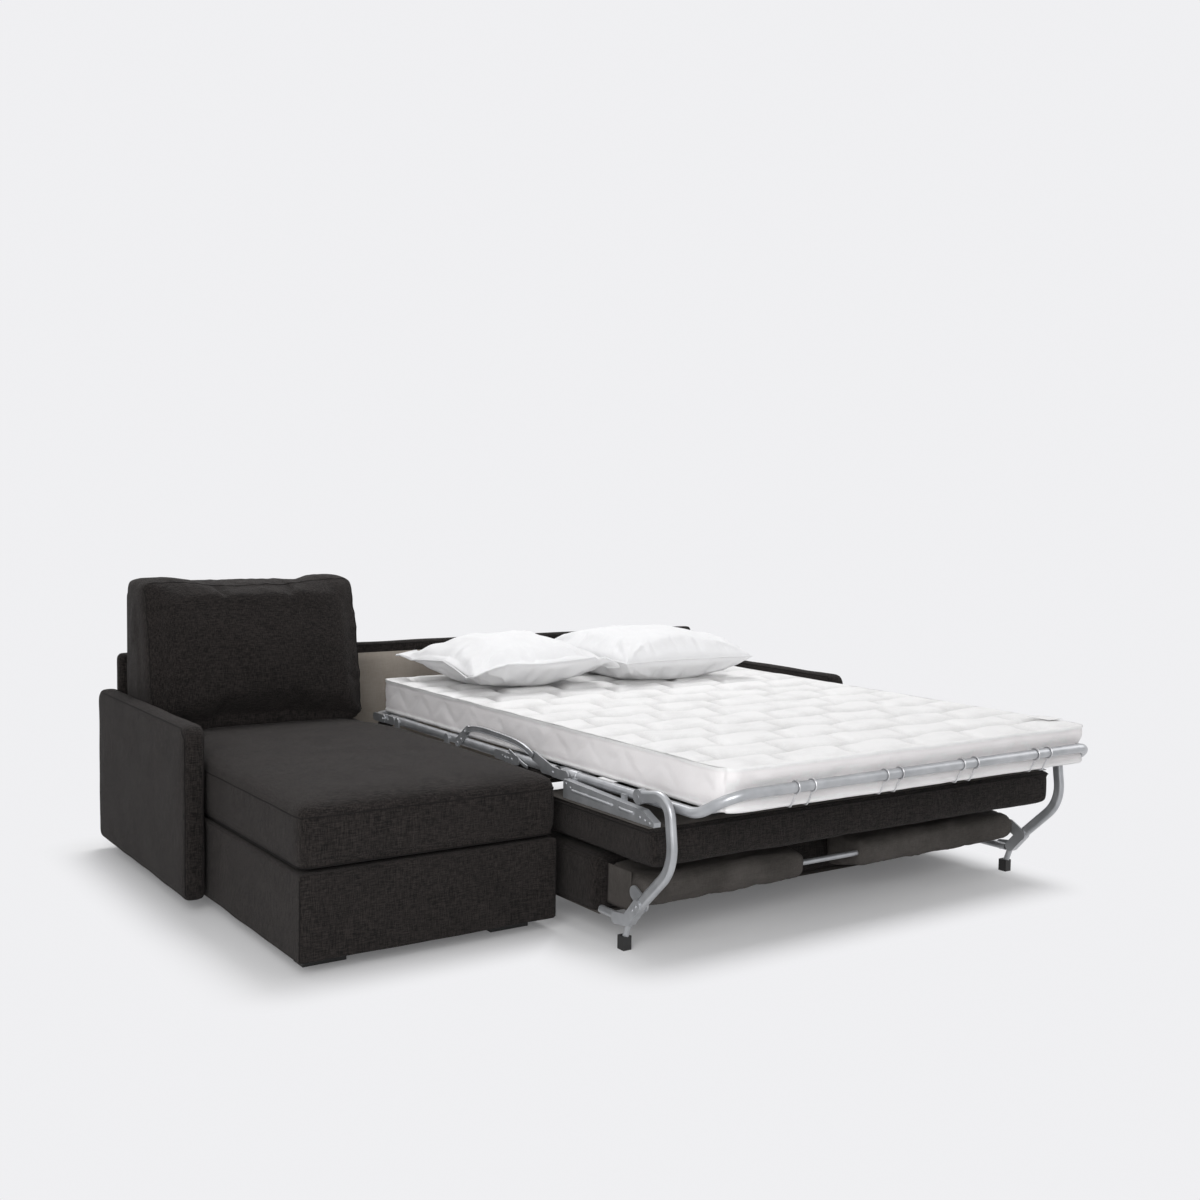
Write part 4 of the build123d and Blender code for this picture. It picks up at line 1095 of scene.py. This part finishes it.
def fit_bag(bag, low, high):
    """Scales the filled bag into its place and flattens its underside on the mattress."""
    places = [v.co.copy() for v in bag.data.vertices]
    small, large = [[pick(p[axis] for p in places) for axis in range(3)] for pick in (min, max)]
    floor_z = low[2] - PILLOW_SUNK
    for vertex, place in zip(bag.data.vertices, places):
        share = [(place[axis] - small[axis]) / (large[axis] - small[axis]) for axis in range(3)]
        x = low[0] + share[0] * (high[0] - low[0])
        y = low[1] + share[1] * (high[1] - low[1])
        z = floor_z + share[2] * (high[2] - floor_z)
        vertex.co = (x, y, max(z, low[2] - 0.004 + 0.15 * max(0.0, z - low[2] + 0.02)))


def fill_pillow(name, node, seed):
    low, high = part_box(node)
    pillow, rim = sewn_bag(name, seed)
    blow_up(pillow, lambda p: PILLOW_GIVE, pressure=3.0, stiffness=15.0, bending=0.05)
    fit_bag(pillow, low, high)
    guide = [pillow.data.vertices[index].co.copy() for index in rim]
    piping = seam(name + "_piping", pillow, guide, "mid_section", COTTON, PILLOW_SEAM,
                  closed=True)
    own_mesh(piping)
    finer(pillow)
    upholster(pillow, "mid_section", node, fill=0.7, slot="pillow_cotton")
    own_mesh(pillow)
    return pillow


left_pillow = fill_pillow("pillow_left_cotton", "pillow_left", 11.0)
right_pillow = fill_pillow("pillow_right_cotton", "pillow_right", 17.0)
print("pillows", len(left_pillow.data.vertices), len(right_pillow.data.vertices))

# %% [markdown]
# ## Seat and backrest under the bed
# Both hang upside down while the bed is open. The seat's cover is drawn over its board and a lining closes it
# on top. The backrest's foot end is wrapped in two lining sleeves with the bare cross tube between them.

# %% Seat pad
seat_pad, low, high = new_pad("seat_pad", "seat_cushion", 0.014, PAD_VOXEL, 5)
seat_top = high[2] - 0.010
blow_up(seat_pad, lambda p: 0.001 if p.z > seat_top else 0.008)
ripple(seat_pad, 0.11, 0.003, 21.0, lambda p: 1.0 if p.z < seat_top else 0.0)
upholster(seat_pad, "foot_section", "seat_cushion", "seat_board", fill=0.9)
seam("seat_pad_seam", seat_pad, ring_guide(low, high, high[2] - 0.006), "foot_section", closed=True)
line_pad("seat_lining_cloth", "seat_lining", 2, LINING, 0.0006,
         "foot_section", 4.0)

# %% Backrest pad
rest_pad = new_pad("backrest_pad", "back_cushion", 0.022, PAD_VOXEL, 7)[0]
blow_up(rest_pad, lambda p: 0.005)
ripple(rest_pad, 0.11, 0.003, 31.0)
upholster(rest_pad, "backrest", "back_cushion", "backrest_board", fill=0.8)
line_pad("backrest_lining_cloth", "backrest_lining", 2, LINING, 0.0006,
         "backrest", 8.0)

# %% Lining sleeves
SLEEVE_NOSE = 0.030
SLEEVE_EDGE = 0.018
tube_height = spot(0, 0, 155).z


def wrap_sleeve(side, seed):
    """A lining sleeve: a wedge of loose cloth, narrow round the cross tube, with slanting folds."""
    node = "backrest_sleeve_" + side
    low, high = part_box(node)
    bm = box_mesh(low, high)
    for vertex in bm.verts:
        if vertex.co.y < (low[1] + high[1]) / 2:
            vertex.co.z = tube_height + (SLEEVE_NOSE if vertex.co.z > tube_height else -SLEEVE_NOSE)
    round_edges(bm, bm.edges[:], SLEEVE_EDGE, 4)
    sleeve = link_mesh("lining_sleeve_" + side, bm, LINING)
    even_faces(sleeve, 0.008, 3)
    blow_up(sleeve, lambda p: 0.005, shrink=-0.04)
    ripple(sleeve, (0.09, 0.05, 0.05), 0.008, seed, outward=True)
    ripple(sleeve, (0.030, 0.012, 0.020), 0.003, seed + 2, outward=True)
    upholster(sleeve, "backrest", node, fill=0.4, slot="grey_lining")


wrap_sleeve("left", 41.0)
wrap_sleeve("right", 47.0)

# %% Apron
apron = new_pad("apron_cover", "front_apron", 0.006, 0.010, 2)[0]
upholster(apron, "bend_section", "front_apron", fill=1.0)
print("seat, backrest and apron covered")

# %% [markdown]
# ## Steel details
# Pressed steel gets its stiffness from ribs, and its joints are held by rivets. The solids carry the main
# shapes, and these small pieces are laid on them by casting a ray from outside: rivet heads, ribs on the
# seat's bearers and beads down the legs. The two struts are remade as bent channel bars, because a bar with
# an open space below it is what the eye looks for there.

# %% Rivets and ribs
SIDES = {"left": 1, "right": -1}


def outer_face(tree, side, y, z):
    """The outermost point of a solid at a place along the bed and a height in millimetres, or None."""
    start = Vector((BED_MIDDLE - SIDES[side] * 1.2, spot(0, y, 0).y, z / 1000))
    return tree.ray_cast(start, Vector((SIDES[side], 0, 0)))[0]


def steel_piece(name, bm, body):
    piece = link_mesh(name, bm, STEEL)
    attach(piece, body)
    return piece


def set_rivets(name, node, side, places, body, radius):
    """Rivet heads on the outer face of a solid; places and radius are in millimetres."""
    tree = surface_of(nodes[node])
    bm = bmesh.new()
    count = 0
    for y, z in places:
        hit = outer_face(tree, side, y, z)
        if hit is None:
            continue
        count += 1
        made = bmesh.ops.create_uvsphere(bm, u_segments=16, v_segments=8, radius=radius / 1000)["verts"]
        bmesh.ops.scale(bm, vec=(0.55, 1, 1), verts=made)
        bmesh.ops.translate(bm, vec=hit, verts=made)
    print(name, count)
    if count:
        steel_piece(name, bm, body)


def rounded_rib(name, points, radius, body):
    """A pressed rib or bead: a round bar half sunk in the face that its points lie on."""
    steel_piece(name, round_cord(points, radius, caps=True), body)


def middle_line(tree, side, stations, spread, along="z", share=0.5):
    """Points down the middle of a solid's outer face; share moves them across its width."""
    line = []
    for station in stations:
        hits = []
        for other in range(*spread):
            y, z = (other, station) if along == "z" else (station, other)
            hit = outer_face(tree, side, y, z)
            if hit is not None and abs(hit.x - BED_MIDDLE) > 0.735:
                hits.append(hit)
        if len(hits) > 3:
            line.append(hits[0].lerp(hits[-1], share))
    return line


RIVETS = {
    "mid_rivets_": ("mid_rail_", "mid_section", 4.5, (
        (650, 449), (690, 418), (712, 404), (415, 405), (440, 405), (1255, 405), (1228, 405))),
    "bend_rivets_": ("bend_rail_", "bend_section", 4.5, ((150, 405), (175, 405), (400, 405), (378, 405))),
    "bearer_rivets_": ("seat_bearer_", "foot_section", 4.0, (
        (52, 392), (30, 384), (-318, 362), (-338, 358), (-296, 366))),
    "leg_rivets_": ("leg_", "backrest", 4.5, ((-284, 417), (-290, 131), (-275, 118), (-296, 112))),
}
BEARER_RIB = 0.0045
LEG_BEAD = 0.0018
for side in SIDES:
    for name, (node, body, radius, places) in RIVETS.items():
        set_rivets(name + side, node + side, side, places, body, radius)
    bearer = surface_of(nodes["seat_bearer_" + side])
    line = middle_line(bearer, side, range(20, -270, -12), (351, 404), along="y", share=0.55)
    rounded_rib("bearer_rib_" + side, line, BEARER_RIB, "foot_section")
    leg = surface_of(nodes["leg_" + side])
    for number, share in enumerate((0.3, 0.7)):
        line = middle_line(leg, side, range(180, 392, 8), (-440, -330), share=share)
        rounded_rib(f"leg_bead_{side}_{number + 1}", line, LEG_BEAD, "backrest")
print("rivets and ribs set")

# %% Struts, links and rail sleeves
STRUT_ARCH = 24
STRUT_WIDE = 18
LINK_PATH = ((398, 428), (372, 420), (344, 409), (318, 400), (292, 395))
RAIL_SLEEVE = 0.0162


def flat_bar(path, x0, x1, wide):
    """A flat bar along (y, z) points in millimetres: a strip of faces, pushed out to the bar's thickness."""
    bm = bmesh.new()
    steps = len(path) - 1
    bmesh.ops.create_grid(bm, x_segments=steps, y_segments=1, size=0.5)
    for vertex in bm.verts:
        index = round((vertex.co.x + 0.5) * steps)
        before, after = path[max(index - 1, 0)], path[min(index + 1, steps)]
        along = Vector((after[0] - before[0], after[1] - before[1])).normalized()
        offset = math.copysign(wide / 2, vertex.co.y)
        y, z = path[index][0] - along.y * offset, path[index][1] + along.x * offset
        vertex.co = spot(x0, y, z)
    made = bmesh.ops.extrude_face_region(bm, geom=bm.faces[:])["geom"]
    bmesh.ops.translate(bm, vec=((x1 - x0) / 1000, 0, 0), verts=points_of(made))
    bmesh.ops.recalc_face_normals(bm, faces=bm.faces)
    round_edges(bm, sharp_edges(bm, 0.8), 0.0012, 2)
    return bm


def mirrored(side, x):
    """A distance across the bed in millimetres, for the left side or turned over for the right one."""
    return x if side == "left" else 2 * BED_CENTRE - x


def arch(start, end, rise, steps=18):
    points = []
    for step in range(steps + 1):
        share = step / steps
        y = start[0] + (end[0] - start[0]) * share
        z = start[1] + (end[1] - start[1]) * share + rise * (1 - (2 * share - 1) ** 4)
        points.append((y, z))
    return points


for side in SIDES:
    web = arch((652, 449), (250, 436), STRUT_ARCH)
    bar = flat_bar(web, mirrored(side, 812), mirrored(side, 816), STRUT_WIDE)
    strut = steel_piece("strut_bar_" + side, bar, "fold_struts")
    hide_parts("fold_strut_" + side)
    for number, lift in enumerate((STRUT_WIDE / 2 - 1.5, 1.5 - STRUT_WIDE / 2)):
        flange = [(y, z + lift) for y, z in web[1:-1]]
        bar = flat_bar(flange, mirrored(side, 809.5), mirrored(side, 818.5), 3)
        steel_piece(f"strut_flange_{side}_{number + 1}", bar, "fold_struts")
    link = flat_bar(LINK_PATH, mirrored(side, 821), mirrored(side, 825), 10)
    steel_piece("bend_link_" + side, link, "bend_section")
    bm = bmesh.new()
    turn = Matrix.Rotation(math.pi / 2, 4, "X")
    place = Matrix.Translation(spot(mirrored(side, 845), 88, RAIL_HEIGHT))
    bmesh.ops.create_cone(bm, cap_ends=True, segments=32, radius1=RAIL_SLEEVE, radius2=RAIL_SLEEVE,
                          depth=0.075, matrix=place @ turn)
    round_edges(bm, sharp_edges(bm, 0.8), 0.002, 2)
    steel_piece("rail_sleeve_" + side, bm, "foot_section")
print("bars set")

# %% [markdown]
# ## Loose cloth
# Two small bits of loose cloth: a plain tab sewn to the mattress near its front right corner, and a flap of
# lining that hangs at the left end of the left sleeve. Both are thin waved sheets.

# %% Tab and flap
space = (spot(2196, -474, 533.5), spot(2258, -392, 534.5))
tab = waved_sheet("mattress_tab", space, 2, TICKING, 0.0008, 0.004, cell=0.006, seed=3.0)
lay_sheet(tab, "foot_section")
space = (spot(829, -226, 96), spot(831, -118, 204))
flap = waved_sheet("lining_flap", space, 0, LINING, 0.0012, 0.007, cell=0.008, seed=6.0)
lay_sheet(flap, "backrest")
print("tab and flap added")
